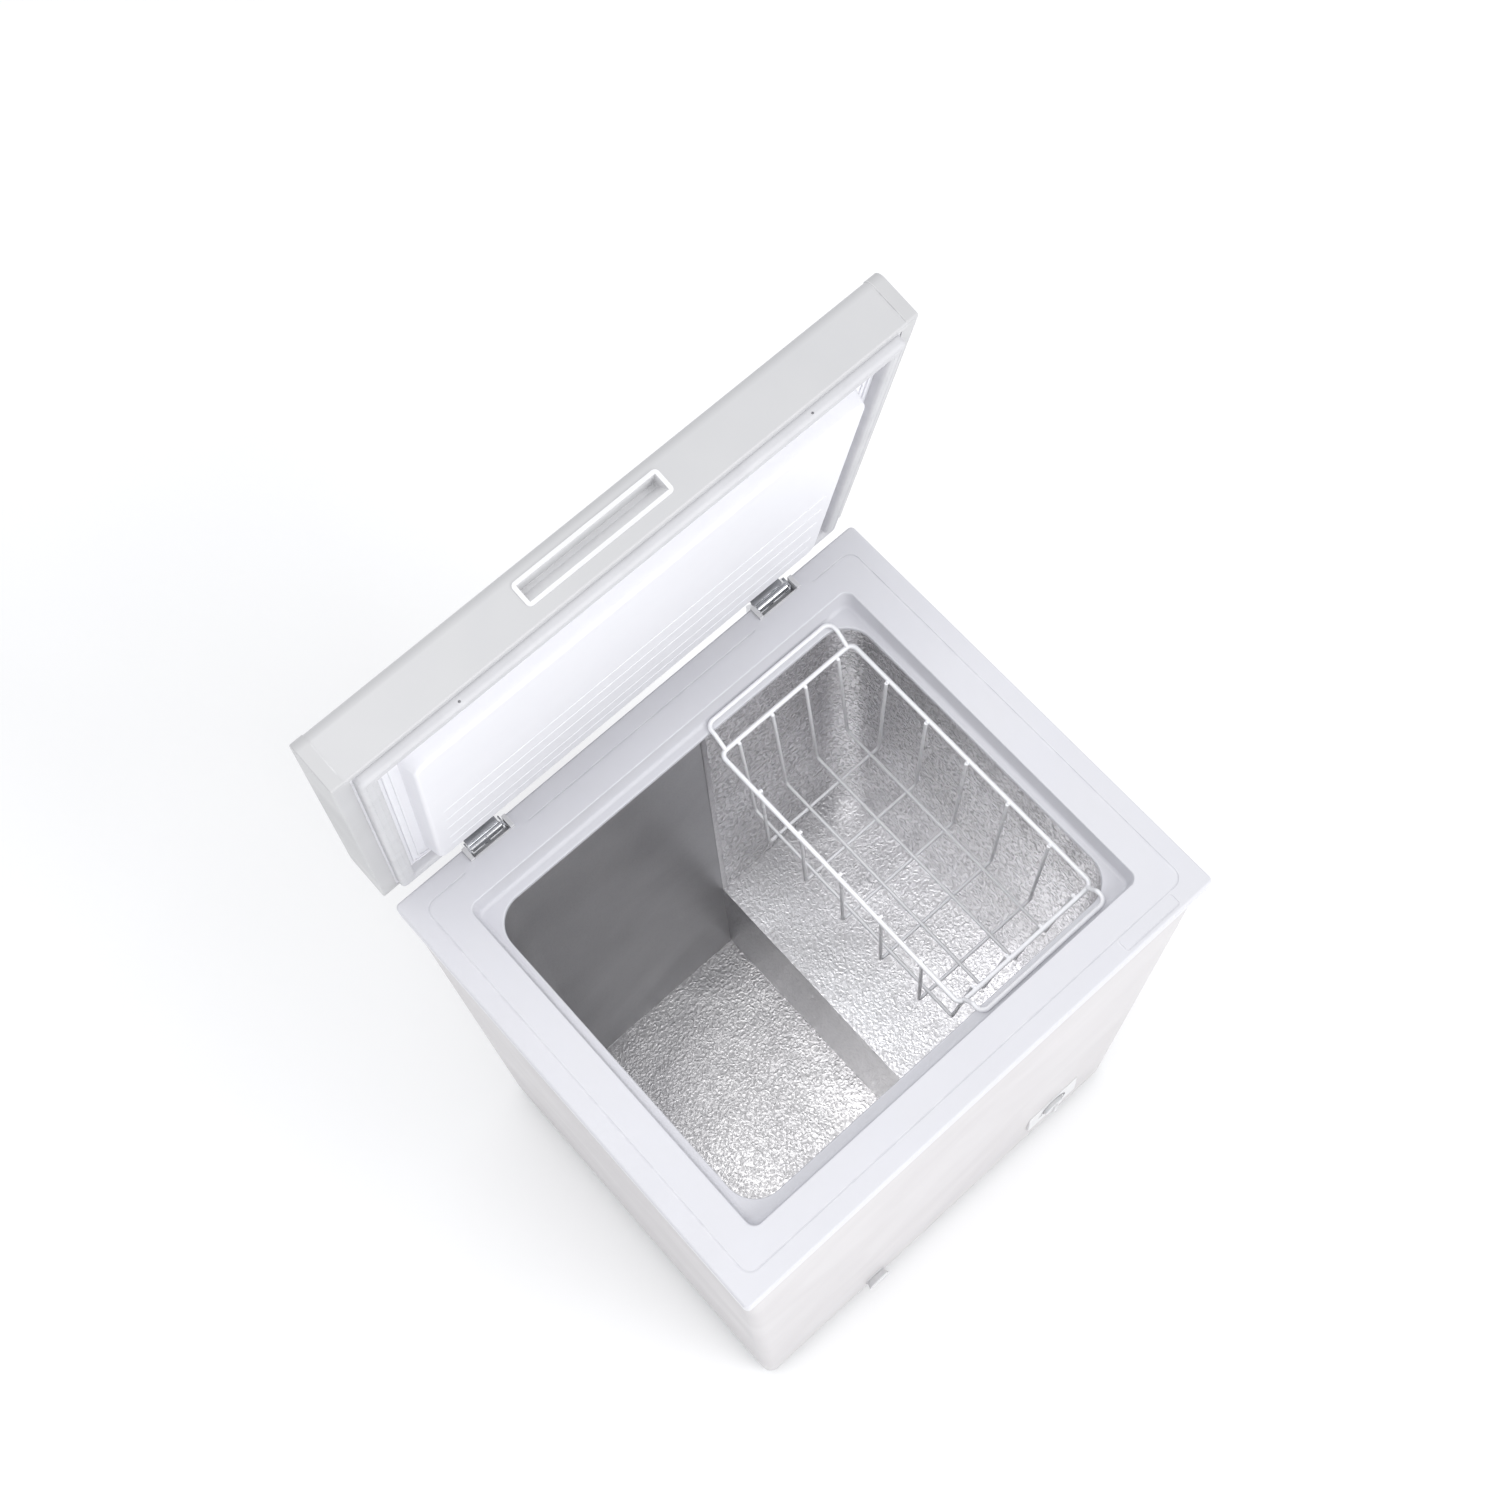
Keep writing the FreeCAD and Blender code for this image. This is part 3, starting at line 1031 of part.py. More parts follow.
def make_handle():
    half = HANDLE_W / 2 - HANDLE_BEZEL
    t = PLASTIC_T
    pocket = along_x(pocket_outline(t), HANDLE_X - half - t, HANDLE_X + half + t)
    pocket = pocket.common(box(-HALF_W, HALF_W, LID_FRONT, HALF_D, RIM_Z, LID_TOP))
    low = RIM_Z + HANDLE_LOW
    bezel = bar(LID_FRONT - HANDLE_PROUD, LID_FRONT, low, low + HANDLE_H, [0.0] * 4,
                HANDLE_X - HANDLE_W / 2, HANDLE_X + HANDLE_W / 2)
    bezel = bezel.makeFillet(4.0, [e for e in bezel.Edges if e.BoundBox.YLength > 0.5])
    body = pocket.fuse(bezel)
    body = body.cut(along_x(pocket_outline(0), HANDLE_X - half, HANDLE_X + half))
    put_lid("handle_pocket", body)
    grow = HOLE_CLEAR
    hole = along_x(pocket_outline(t + grow), HANDLE_X - half - t - grow, HANDLE_X + half + t + grow)
    return hole


def make_lid():
    hole = make_handle()
    skin = lid_block(0.0, -SKIN_X, SKIN_X)
    skin = skin.cut(lid_block(SHEET, -SKIN_X - 1, SKIN_X + 1, RIM_Z + SHEET))
    skin = skin.cut(box(-SKIN_X - 1, SKIN_X + 1, LID_FRONT + HEM, LID_BACK - HEM, RIM_Z - 1, RIM_Z + 2))
    skin = skin.cut(hole)
    screws = [place for x in HINGES.values() for place in leaf_screw_places(x)]
    skin = drill(skin, screws, SCREW_HOLE, 3, V(0, 0, 1))
    put_lid("lid_skin", skin)
    caps = [make_cap(side, sign) for side, sign in (("left", -1), ("right", 1))]
    liner = make_lid_liner()
    make_gasket()
    inner = SKIN_X - CAP_SPIGOT
    foam = lid_block(SHEET, -inner, inner, LID_LINER_TOP)
    foam = foam.fuse(bulge(PLASTIC_T, RIM_Z - BULGE_DEPTH + PLASTIC_T, LID_LINER_TOP + 1))
    foam = foam.cut(hole)
    for piece in caps + [liner]:
        foam = foam.cut(piece)
    foam = drill(foam, screws, SCREW_HOLE, 12, V(0, 0, 1))
    put_lid("lid_foam", foam)


def make_cap(side, sign):
    """Moulded end of the lid: a hollow end, a spigot inside the skin, and a flat underside."""
    def span(a, b):
        return (a, b) if sign > 0 else (-b, -a)
    wall = CAP_WALL
    cap = lid_block(-LID_CAP_PROUD, *span(SKIN_X, LID_X))
    end = [e for e in cap.Edges if abs(abs(e.BoundBox.XMin) - LID_X) < 0.01 and e.BoundBox.XLength < 0.01]
    cap = cap.makeFillet(1.2, end)
    hollow = lid_block(wall, *span(SKIN_X - 1, LID_X - wall), RIM_Z + wall)
    spigot = lid_block(SHEET, *span(SKIN_X - CAP_SPIGOT, SKIN_X), RIM_Z + SHEET)
    spigot = spigot.cut(lid_block(SHEET + PLASTIC_T, *span(SKIN_X - CAP_SPIGOT - 1, SKIN_X + 1),
                                  RIM_Z + SHEET + PLASTIC_T))
    spigot = spigot.cut(box(*span(SKIN_X - CAP_SPIGOT - 1, SHELF_X), LID_FRONT + LINER_LAP - 0.2,
                            LID_BACK - LINER_LAP + 0.2, RIM_Z, RIM_Z + SHEET + PLASTIC_T + 0.1))
    inset = HEM + 0.2
    shelf = box(*span(SHELF_X, SKIN_X), LID_FRONT + inset, LID_BACK - inset, RIM_Z, RIM_Z + PLASTIC_T)
    cap = cap.cut(hollow).fuse(spigot).fuse(shelf).removeSplitter()
    put_lid("lid_end_cap_%s" % side, cap)
    return cap


def make_lid_liner():
    """White plastic inner face of the lid with its shallow bulge."""
    x = SHELF_X - CLEAR
    liner = slab(-x, x, LID_FRONT + LINER_LAP, LID_BACK - LINER_LAP, 2.0, LID_LINER_Z, LID_LINER_TOP)
    liner = liner.fuse(bulge(0.0, RIM_Z - BULGE_DEPTH, LID_LINER_TOP))
    face = edges_at(liner, RIM_Z - BULGE_DEPTH, HALF_W, HALF_D)
    liner = liner.makeFillet(4.0, face)
    liner = liner.cut(bulge(PLASTIC_T, RIM_Z - BULGE_DEPTH + PLASTIC_T, LID_LINER_TOP + 1))
    places = [p for hinge in HINGES.values() for p in leaf_screw_places(hinge)]
    liner = drill(liner, places, SCREW_HOLE, 9, V(0, 0, 1))
    put_lid("lid_liner", liner)
    return liner


def make_gasket():
    """Soft hollow-looking seal round the lid; its crown just meets the frame's top."""
    x = LID_X - GASKET_SIDE
    y0 = LID_FRONT + GASKET_FRONT
    y1 = LID_BACK - GASKET_BACK
    w = GASKET_W
    low = FRAME_TOP + CLEAR
    seal = slab(-x, x, y0, y1, GASKET_R, low, LID_LINER_Z)
    seal = seal.cut(slab(w - x, x - w, y0 + w, y1 - w, 1.0, low - 1, LID_LINER_Z + 1))
    seal = seal.makeFillet(GASKET_EDGE_R, edges_at(seal, low, HALF_W + 1, HALF_D + 1))
    holes = [V(sign * VENT_HOLE_X, y0, LID_LINER_Z - 5.5) for sign in (-1, 1)]
    seal = drill(seal, holes, VENT_HOLE_R, 2.5, BACK)
    put_lid("lid_gasket", seal)


# ---------------------------------------------------------------- basket
def make_basket():
    """Coated wire: a rim, two hangers over the mouth's ledge, and a mesh of bent wires."""
    x0 = BASKET_X - BASKET_W / 2
    x1 = BASKET_X + BASKET_W / 2
    y0 = BASKET_Y - BASKET_D / 2
    y1 = BASKET_Y + BASKET_D / 2
    z = RIM_LEVEL
    floor = z - BASKET_H
    rim_wire = loop(x0, x1, y0, y1, [BASKET_R] * 4, z)
    rim = sweep(rim_wire, RIM_WIRE_R)
    put("basket_rim", rim)

    ledge = LEDGE_Z + HANGER_WIRE_R + CLEAR
    hangers = []
    for end, sign in ((y0, -1), (y1, 1)):
        reach = sign * HANGER_REACH
        over = sign * (MOUTH_Y - 5)
        inset = RIM_WIRE_R + BASKET_R / 2
        foot = z + RIM_WIRE_R - WELD
        points = [V(x0 + inset, end, foot), V(x0 + inset, over, ledge), V(x0 + inset, reach, ledge),
                  V(x1 - inset, reach, ledge), V(x1 - inset, over, ledge), V(x1 - inset, end, foot)]
        hangers.append(tube(points, [2.5, 8.0, 8.0, 2.5], HANGER_WIRE_R))
    put("basket_hangers", Part.makeCompound(hangers))

    weld = RIM_WIRE_R + MESH_WIRE_R - WELD
    cross = []
    for i in range(CROSS_WIRES):
        y = BASKET_Y + (i - (CROSS_WIRES - 1) / 2) * CROSS_PITCH
        points = [V(x0 + weld, y, z), V(x0 + BASKET_TAPER_X, y, floor),
                  V(x1 - BASKET_TAPER_X, y, floor), V(x1 - weld, y, z)]
        cross.append(tube(points, 6.0, MESH_WIRE_R))
    put("basket_cross_wires", Part.makeCompound(cross))

    upper = floor + 2 * MESH_WIRE_R - WELD
    lengthwise = []
    for i in range(LONG_WIRES):
        x = BASKET_X + (i - (LONG_WIRES - 1) / 2) * LONG_PITCH
        points = [V(x, y0 + weld, z), V(x, y0 + BASKET_TAPER_Y, upper),
                  V(x, y1 - BASKET_TAPER_Y, upper), V(x, y1 - weld, z)]
        lengthwise.append(tube(points, 6.0, MESH_WIRE_R))
    put("basket_long_wires", Part.makeCompound(lengthwise))


# ---------------------------------------------------------------- the whole freezer
make_feet()
base = make_base()
wrap = make_wrap()
make_back()
make_grille()
frame = make_frame()
liner_shell = make_liner()
bay_wall = make_bay_wall()
put("machine_bay_wall", bay_wall)
make_foam([base, wrap, bay_wall, liner_shell])
compressor_shell = make_compressor()
make_grommets()
make_relay(compressor_shell)
make_lines(compressor_shell)
make_thermostat()
make_drain()
for name, place in HINGES.items():
    make_hinge(name, place)
make_hinge_screws()
make_lid()
make_basket()
print("cabinet middle y", CABINET_Y, "pivot", PIVOT_Y + CABINET_Y, PIVOT_Z)
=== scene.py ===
"""Looks for the small chest freezer: finishes, small pieces, studio, light and camera."""

import json
import math

import bmesh
import bpy
from mathutils import Matrix, Vector


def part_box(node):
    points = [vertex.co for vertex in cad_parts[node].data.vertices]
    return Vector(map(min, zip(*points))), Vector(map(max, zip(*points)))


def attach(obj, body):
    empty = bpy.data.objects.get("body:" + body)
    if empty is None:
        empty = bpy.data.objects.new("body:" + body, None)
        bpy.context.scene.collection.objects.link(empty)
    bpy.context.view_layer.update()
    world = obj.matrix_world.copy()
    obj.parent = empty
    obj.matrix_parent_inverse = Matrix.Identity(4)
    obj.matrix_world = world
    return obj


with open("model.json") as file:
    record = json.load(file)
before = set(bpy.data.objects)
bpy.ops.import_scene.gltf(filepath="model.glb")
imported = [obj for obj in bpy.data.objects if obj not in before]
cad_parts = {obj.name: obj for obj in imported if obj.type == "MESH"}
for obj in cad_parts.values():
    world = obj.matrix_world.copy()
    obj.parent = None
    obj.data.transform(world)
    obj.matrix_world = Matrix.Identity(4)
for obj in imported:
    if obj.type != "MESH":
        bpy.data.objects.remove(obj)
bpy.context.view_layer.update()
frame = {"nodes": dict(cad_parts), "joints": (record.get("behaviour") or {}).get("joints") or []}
MM = 0.001

# ---------------------------------------------------------------- places read from the frame
FRAME_LOW, FRAME_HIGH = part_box("top_frame")
FRAME_TOP = FRAME_HIGH[2]
CABINET_Y = (FRAME_LOW[1] + FRAME_HIGH[1]) / 2
WALLS_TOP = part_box("liner_walls")[1][2]
STEP_LOW, STEP_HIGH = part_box("liner_step")
PANEL_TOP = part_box("thermostat_panel")[1][2]
KNOB_LOW, KNOB_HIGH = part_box("thermostat_knob")
LONG_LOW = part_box("basket_long_wires")[0]
CROSS_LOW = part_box("basket_cross_wires")[0]
RIM_LOW, RIM_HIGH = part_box("basket_rim")
LID_HINGE = next(joint for joint in frame["joints"] if joint["name"] == "lid_hinge")
PIVOT = Vector(LID_HINGE["pos_m"])
LID_OPEN = math.radians(80.0)
SHEET = 0.8 * MM
LID_RIM_Z = FRAME_TOP + 9.0 * MM             # underside of the closed lid
BULGE_Z = LID_RIM_Z - 16.0 * MM              # flat face of the lid liner's bulge, closed
SEAL_Z = FRAME_TOP + 0.3 * MM                # crown of the closed seal
SEAL_X = 256.0 * MM                          # outer half width of the seal
SEAL_Y = (CABINET_Y - 221.5 * MM, CABINET_Y + 215.0 * MM)
LINER_Y = 176.5 * MM                         # half depth of the inner walls
RIB_PLACES = (8.0, 44.0, 78.0, 118.0, 148.0)   # ribs behind the cabinet's middle, mm
RIB_SIZE = (408.0 * MM, 1.6 * MM, 0.7 * MM)
# Mouldings round the liner's bulge: half width, half depth, width, height, how far they sink in, mm.
LINER_STEPS = ((236.0, 198.0, 2.0, 1.4, 0.6), (230.0, 192.0, 1.6, 1.2, 0.4))
LINER_STEP_R = 9.0 * MM
# Folds of the seal: inset from its edge, corner, width, height, how far they sink in, mm.
SEAL_FOLDS = ((4.2, 4.0, 1.2, 0.8, 0.25), (9.6, 3.0, 1.0, 0.7, 0.2))
SEAM_SIZE = (6.0 * MM, 0.5 * MM)             # lapped edge of the wall sheet: width, thickness
WIRE_R = 1.7 * MM
LONG_PITCH = 40.7 * MM
CROSS_PITCH = 53.0 * MM
FLOOR_BEAD = 2.2 * MM
RIM_BEAD = 2.3 * MM
RIM_INSET = 4.1 * MM                         # from the rim's outside to where a wire meets it
FLOOR_WELD_Z = CROSS_LOW[2] + 3.2 * MM
RIM_WELD_Z = (RIM_LOW[2] + RIM_HIGH[2]) / 2 - 0.4 * MM
SCALE_R = 17.0 * MM                          # inner edge of the dial's printed scale
SCALE_START = math.radians(190.0)
SCALE_SWEEP = math.radians(200.0)
SCALE_THIN, SCALE_GROWTH = 0.4, 2.8          # wedge's width at its start, and what it gains, mm
SCALE_DOTS = ((SCALE_START + 0.22, 0.9 * MM), (SCALE_START - SCALE_SWEEP - 0.24, 1.9 * MM))
PANEL_FACE = CABINET_Y - 228.85 * MM         # face of the control panel at its top edge
PANEL_LEAN = 1.085 * 2.9 / 50.0              # how far the face comes forward per unit of height


# ---------------------------------------------------------------- node helpers
def new_group(name, inputs, outputs):
    """A shader node group; inputs and outputs are (name, kind, default)."""
    group = bpy.data.node_groups.new(name, "ShaderNodeTree")
    for label, kind, default in inputs:
        socket = group.interface.new_socket(label, in_out="INPUT", socket_type="NodeSocket" + kind)
        if default is not None:
            socket.default_value = default
    for label, kind in outputs:
        group.interface.new_socket(label, in_out="OUTPUT", socket_type="NodeSocket" + kind)
    return group, group.nodes.new("NodeGroupInput"), group.nodes.new("NodeGroupOutput")


def add(tree, kind, links=(), **values):
    """One node. links are (input, socket) pairs; values set properties or input defaults."""
    node = tree.nodes.new("ShaderNode" + kind)
    for key, value in values.items():
        if hasattr(node, key):
            setattr(node, key, value)
        else:
            node.inputs[key.replace("_", " ")].default_value = value
    for socket, source in links:
        tree.links.new(source, node.inputs[socket])
    return node


def noise(tree, vector, scale, detail=3.0, distortion=0.0):
    node = add(tree, "TexNoise", [("Vector", vector)], Detail=detail, Distortion=distortion, Roughness=0.5)
    if isinstance(scale, (int, float)):
        node.inputs["Scale"].default_value = scale
    else:
        tree.links.new(scale, node.inputs["Scale"])
    return node.outputs["Fac"]


def spread(tree, value, low, high, to_low=0.0, to_high=1.0):
    """Maps low..high to to_low..to_high, clamped."""
    node = add(tree, "MapRange", [("Value", value)])
    for label, number in (("From Min", low), ("From Max", high), ("To Min", to_low), ("To Max", to_high)):
        node.inputs[label].default_value = number
    return node.outputs["Result"]


def math_node(tree, operation, a, b=None):
    node = add(tree, "Math", operation=operation)
    for i, value in enumerate((a, b)):
        if value is None:
            continue
        if isinstance(value, (int, float)):
            node.inputs[i].default_value = value
        else:
            tree.links.new(value, node.inputs[i])
    return node.outputs[0]


def mix_colour(tree, factor, a, b):
    node = add(tree, "Mix", data_type="RGBA")
    for i, value in ((0, factor), (6, a), (7, b)):
        if isinstance(value, (int, float, tuple)):
            node.inputs[i].default_value = value
        else:
            tree.links.new(value, node.inputs[i])
    return node.outputs[2]


def mix_value(tree, factor, a, b):
    node = add(tree, "Mix", data_type="FLOAT")
    for i, source in ((0, factor), (2, a), (3, b)):
        tree.links.new(source, node.inputs[i])
    return node.outputs[0]


# ---------------------------------------------------------------- shared effects
def build_mottle():
    """Slow, faint change of colour and gloss over a moulded or painted face."""
    tree, source, out = new_group("uneven colour", [
        ("Vector", "Vector", None), ("Scale", "Float", 9.0), ("Colour", "Color", None),
        ("Other Colour", "Color", None)], [("Colour", "Color"), ("Mask", "Float")])
    broad = noise(tree, source.outputs["Vector"], source.outputs["Scale"], 4.0, 0.6)
    mask = spread(tree, broad, 0.35, 0.68)
    colour = mix_colour(tree, mask, source.outputs["Colour"], source.outputs["Other Colour"])
    tree.links.new(colour, out.inputs["Colour"])
    tree.links.new(mask, out.inputs["Mask"])
    return tree


def build_edge_highlight_and_scuff():
    """1 on convex edges, broken up by noise: on white parts it paints a highlight along the rounded edges, on
    dark parts it marks scuffs from handling.
    """
    tree, source, out = new_group("edge highlight and scuffs", [
        ("Vector", "Vector", None), ("Breakup", "Float", 60.0)], [("Mask", "Float")])
    soft = add(tree, "Bevel", samples=6, Radius=0.0016)
    geometry = add(tree, "NewGeometry")
    product = add(tree, "VectorMath", [(0, soft.outputs["Normal"]), (1, geometry.outputs["Normal"])],
                  operation="DOT_PRODUCT")
    edge = spread(tree, product.outputs["Value"], 0.995, 0.85)
    broken = spread(tree, noise(tree, source.outputs["Vector"], source.outputs["Breakup"], 4.0), 0.42, 0.62)
    tree.links.new(math_node(tree, "MULTIPLY", edge, broken), out.inputs["Mask"])
    return tree


def build_peel():
    """Shallow orange peel of sprayed enamel or moulded plastic, with a finer grain over it."""
    tree, source, out = new_group("fine skin", [
        ("Vector", "Vector", None), ("Scale", "Float", 300.0), ("Depth", "Float", 0.00002),
        ("Grain", "Float", 0.3)], [("Normal", "Vector"), ("Height", "Float")])
    peel = noise(tree, source.outputs["Vector"], source.outputs["Scale"], 2.0)
    fine_scale = math_node(tree, "MULTIPLY", source.outputs["Scale"], 6.0)
    fine = noise(tree, source.outputs["Vector"], fine_scale, 2.0)
    height = math_node(tree, "ADD", peel, math_node(tree, "MULTIPLY", fine, source.outputs["Grain"]))
    bump = add(tree, "Bump", [("Height", height), ("Distance", source.outputs["Depth"])], Strength=1.0)
    tree.links.new(bump.outputs["Normal"], out.inputs["Normal"])
    tree.links.new(height, out.inputs["Height"])
    return tree


def build_stucco():
    """Pebbled embossing of freezer sheet: rounded, slightly joined-up grains."""
    tree, source, out = new_group("embossed grain", [
        ("Vector", "Vector", None), ("Scale", "Float", 300.0)], [("Height", "Float"), ("Valley", "Float")])
    bend = noise(tree, source.outputs["Vector"], 140.0, 2.0)
    shift = add(tree, "VectorMath", [(0, source.outputs["Vector"])], operation="ADD")
    wobble = add(tree, "CombineXYZ")
    amount = math_node(tree, "MULTIPLY", bend, 0.006)
    for axis in ("X", "Y", "Z"):
        tree.links.new(amount, wobble.inputs[axis])
    tree.links.new(wobble.outputs["Vector"], shift.inputs[1])
    cells = add(tree, "TexVoronoi", [("Vector", shift.outputs["Vector"]), ("Scale", source.outputs["Scale"])],
                feature="SMOOTH_F1", Smoothness=0.6)
    worms = noise(tree, shift.outputs["Vector"], source.outputs["Scale"], 1.0, 0.4)
    domes = spread(tree, cells.outputs["Distance"], 0.55, 0.12)
    ridges = spread(tree, worms, 0.42, 0.60)
    height = math_node(tree, "ADD", math_node(tree, "MULTIPLY", domes, 0.55),
                       math_node(tree, "MULTIPLY", ridges, 0.45))
    tree.links.new(height, out.inputs["Height"])
    tree.links.new(spread(tree, height, 0.35, 0.0), out.inputs["Valley"])
    return tree


def build_dust():
    """Faint settled dust on faces that look up."""
    tree, source, out = new_group("settled dust", [
        ("Vector", "Vector", None), ("Amount", "Float", 0.2)], [("Mask", "Float")])
    geometry = add(tree, "NewGeometry")
    split = add(tree, "SeparateXYZ", [("Vector", geometry.outputs["Normal"])])
    up = spread(tree, split.outputs["Z"], 0.5, 1.0)
    patch = spread(tree, noise(tree, source.outputs["Vector"], 22.0, 6.0), 0.35, 0.75)
    both = math_node(tree, "MULTIPLY", up, patch)
    tree.links.new(math_node(tree, "MULTIPLY", both, source.outputs["Amount"]), out.inputs["Mask"])
    return tree


MOTTLE = build_mottle()
EDGE_HIGHLIGHT_AND_SCUFF = build_edge_highlight_and_scuff()
PEEL = build_peel()
STUCCO = build_stucco()
DUST = build_dust()


# ---------------------------------------------------------------- materials
class Finish:
    """A material under construction: its tree, its Principled shader and Object coordinates."""

    def __init__(self, name, **shader_values):
        self.material = bpy.data.materials.new(name)
        self.material.use_nodes = True
        self.tree = self.material.node_tree
        self.shader = self.tree.nodes["Principled BSDF"]
        self.place = add(self.tree, "TexCoord").outputs["Object"]
        for label, value in shader_values.items():
            self.shader.inputs[label.replace("_", " ")].default_value = value

    def effect(self, group, **values):
        node = self.tree.nodes.new("ShaderNodeGroup")
        node.node_tree = group
        if "Vector" in node.inputs:
            self.tree.links.new(self.place, node.inputs["Vector"])
        for label, value in values.items():
            socket = node.inputs[label.replace("_", " ")]
            if isinstance(value, (int, float, tuple)):
                socket.default_value = value
            else:
                self.tree.links.new(value, socket)
        return node.outputs

    def drive(self, label, source):
        self.tree.links.new(source, self.shader.inputs[label])

    def bump(self, height, distance, base=None):
        node = add(self.tree, "Bump", [("Height", height)], Strength=1.0, Distance=distance)
        if base is not None:
            self.tree.links.new(base, node.inputs["Normal"])
        return node.outputs["Normal"]


def rgb(red, green, blue):
    return (red, green, blue, 1.0)


def moulded(name, colour, other, rough=(0.30, 0.42), peel=260.0, depth=0.000018, edge_sheen_and_scuff=rgb(0.93, 0.93, 0.94),
            dust=0.10, coat=0.0):
    """Moulded or painted face: uneven colour, fine skin, a painted highlight on the edges of white parts and
    scuffed edges on dark ones, and a trace of dust.
    """
    made = Finish(name, Specular_IOR_Level=0.35, Coat_Weight=coat, Coat_Roughness=0.12)
    tint = made.effect(MOTTLE, Scale=6.0, Colour=colour, Other_Colour=other)
    edge = made.effect(EDGE_HIGHLIGHT_AND_SCUFF, Breakup=70.0)["Mask"]
    # Convex edges are mixed half way to the edge colour: the near-white default is a painted highlight; the
    # darker given colours are scuffs.
    sheened_and_scuffed = mix_colour(made.tree, math_node(made.tree, "MULTIPLY", edge, 0.5), tint["Colour"], edge_sheen_and_scuff)
    dusty = made.effect(DUST, Amount=dust)["Mask"]
    made.drive("Base Color", mix_colour(made.tree, dusty, sheened_and_scuffed, rgb(0.70, 0.69, 0.67)))
    gloss = spread(made.tree, tint["Mask"], 0.0, 1.0, rough[0], rough[1])
    made.drive("Roughness", math_node(made.tree, "ADD", gloss, math_node(made.tree, "MULTIPLY", dusty, 0.4)))
    made.drive("Normal", made.effect(PEEL, Scale=peel, Depth=depth)["Normal"])
    return made


def plated(name, colour, rough=(0.08, 0.2), depth=0.000006):
    """Bare or plated metal with fine scratches and slightly uneven polish."""
    made = Finish(name, Metallic=1.0)
    darker = rgb(*(0.82 * part for part in colour[:3]))
    tint = made.effect(MOTTLE, Scale=40.0, Colour=colour, Other_Colour=darker)
    made.drive("Base Color", tint["Colour"])
    made.drive("Roughness", spread(made.tree, tint["Mask"], 0.0, 1.0, rough[0], rough[1]))
    stretched = add(made.tree, "Mapping", [("Vector", made.place)])
    stretched.inputs["Scale"].default_value = (0.08, 1.0, 1.0)
    lines = noise(made.tree, stretched.outputs["Vector"], 900.0, 2.0)
    made.drive("Normal", made.bump(lines, depth))
    return made


def embossed(name, colour, dark, rough=(0.30, 0.42), depth=0.00026, scale=270.0):
    """Stucco-embossed aluminium: bright grains, hollows rougher and darkened with painted shade, and slow
    waves of the sheet.
    """
    made = Finish(name, Metallic=1.0)
    grain = made.effect(STUCCO, Scale=scale)
    tint = made.effect(MOTTLE, Scale=5.0, Colour=colour, Other_Colour=dark)
    # Painted shade: the grain's hollows are darkened in colour.
    valley_shade = math_node(made.tree, "MULTIPLY", grain["Valley"], 0.55)
    made.drive("Base Color", mix_colour(made.tree, valley_shade, tint["Colour"], dark))
    made.drive("Roughness", spread(made.tree, grain["Valley"], 0.0, 1.0, rough[0], rough[1]))
    waves = noise(made.tree, made.place, 14.0, 1.0)
    slow = made.bump(waves, 0.0016)
    made.drive("Normal", made.bump(grain["Height"], depth, slow))
    return made


def wall_finish():
    """The walls' sheet is fine-grained and dull on the deep side, and coarser over the step; the deep side's
    darker colour is painted shade of the deep well, and over the step the walls take the step's brighter
    colour.
    """
    made = Finish("embossed wall", Metallic=1.0)
    fine = made.effect(STUCCO, Scale=520.0)
    coarse = made.effect(STUCCO, Scale=300.0)
    across = add(made.tree, "SeparateXYZ", [("Vector", made.place)]).outputs["X"]
    over_step = spread(made.tree, across, STEP_LOW[0], STEP_LOW[0] + SHEET)
    # Painted shade: the deep side's walls are coloured darker than the same metal on the floor and step.
    tint = made.effect(MOTTLE, Scale=5.0, Colour=rgb(0.56, 0.56, 0.575), Other_Colour=rgb(0.46, 0.46, 0.475))
    bright = made.effect(MOTTLE, Scale=5.0, Colour=rgb(0.84, 0.83, 0.85), Other_Colour=rgb(0.70, 0.69, 0.70))
    colour = mix_colour(made.tree, over_step, tint["Colour"], bright["Colour"])
    # Painted shade in the grain's hollows, over the step only.
    valley_shade = math_node(made.tree, "MULTIPLY", coarse["Valley"], 0.5)
    valley_shade = math_node(made.tree, "MULTIPLY", valley_shade, over_step)
    made.drive("Base Color", mix_colour(made.tree, valley_shade, colour, rgb(0.30, 0.30, 0.31)))
    gloss = spread(made.tree, coarse["Valley"], 0.0, 1.0, 0.24, 0.40)
    dull = spread(made.tree, fine["Valley"], 0.0, 1.0, 0.36, 0.46)
    made.drive("Roughness", mix_value(made.tree, over_step, dull, gloss))
    left = math_node(made.tree, "MULTIPLY", fine["Height"], 0.35)
    height = mix_value(made.tree, over_step, left, coarse["Height"])
    slow = made.bump(noise(made.tree, made.place, 12.0, 1.0), 0.0014)
    made.drive("Normal", made.bump(height, 0.0003, slow))
    return made


def insulation_finish():
    made = Finish("rigid insulation", Roughness=0.85)
    tint = made.effect(MOTTLE, Scale=30.0, Colour=rgb(0.86, 0.74, 0.45), Other_Colour=rgb(0.78, 0.62, 0.33))
    made.drive("Base Color", tint["Colour"])
    cells = add(made.tree, "TexVoronoi", [("Vector", made.place)], Scale=700.0)
    made.drive("Normal", made.bump(cells.outputs["Distance"], 0.0003))
    return made


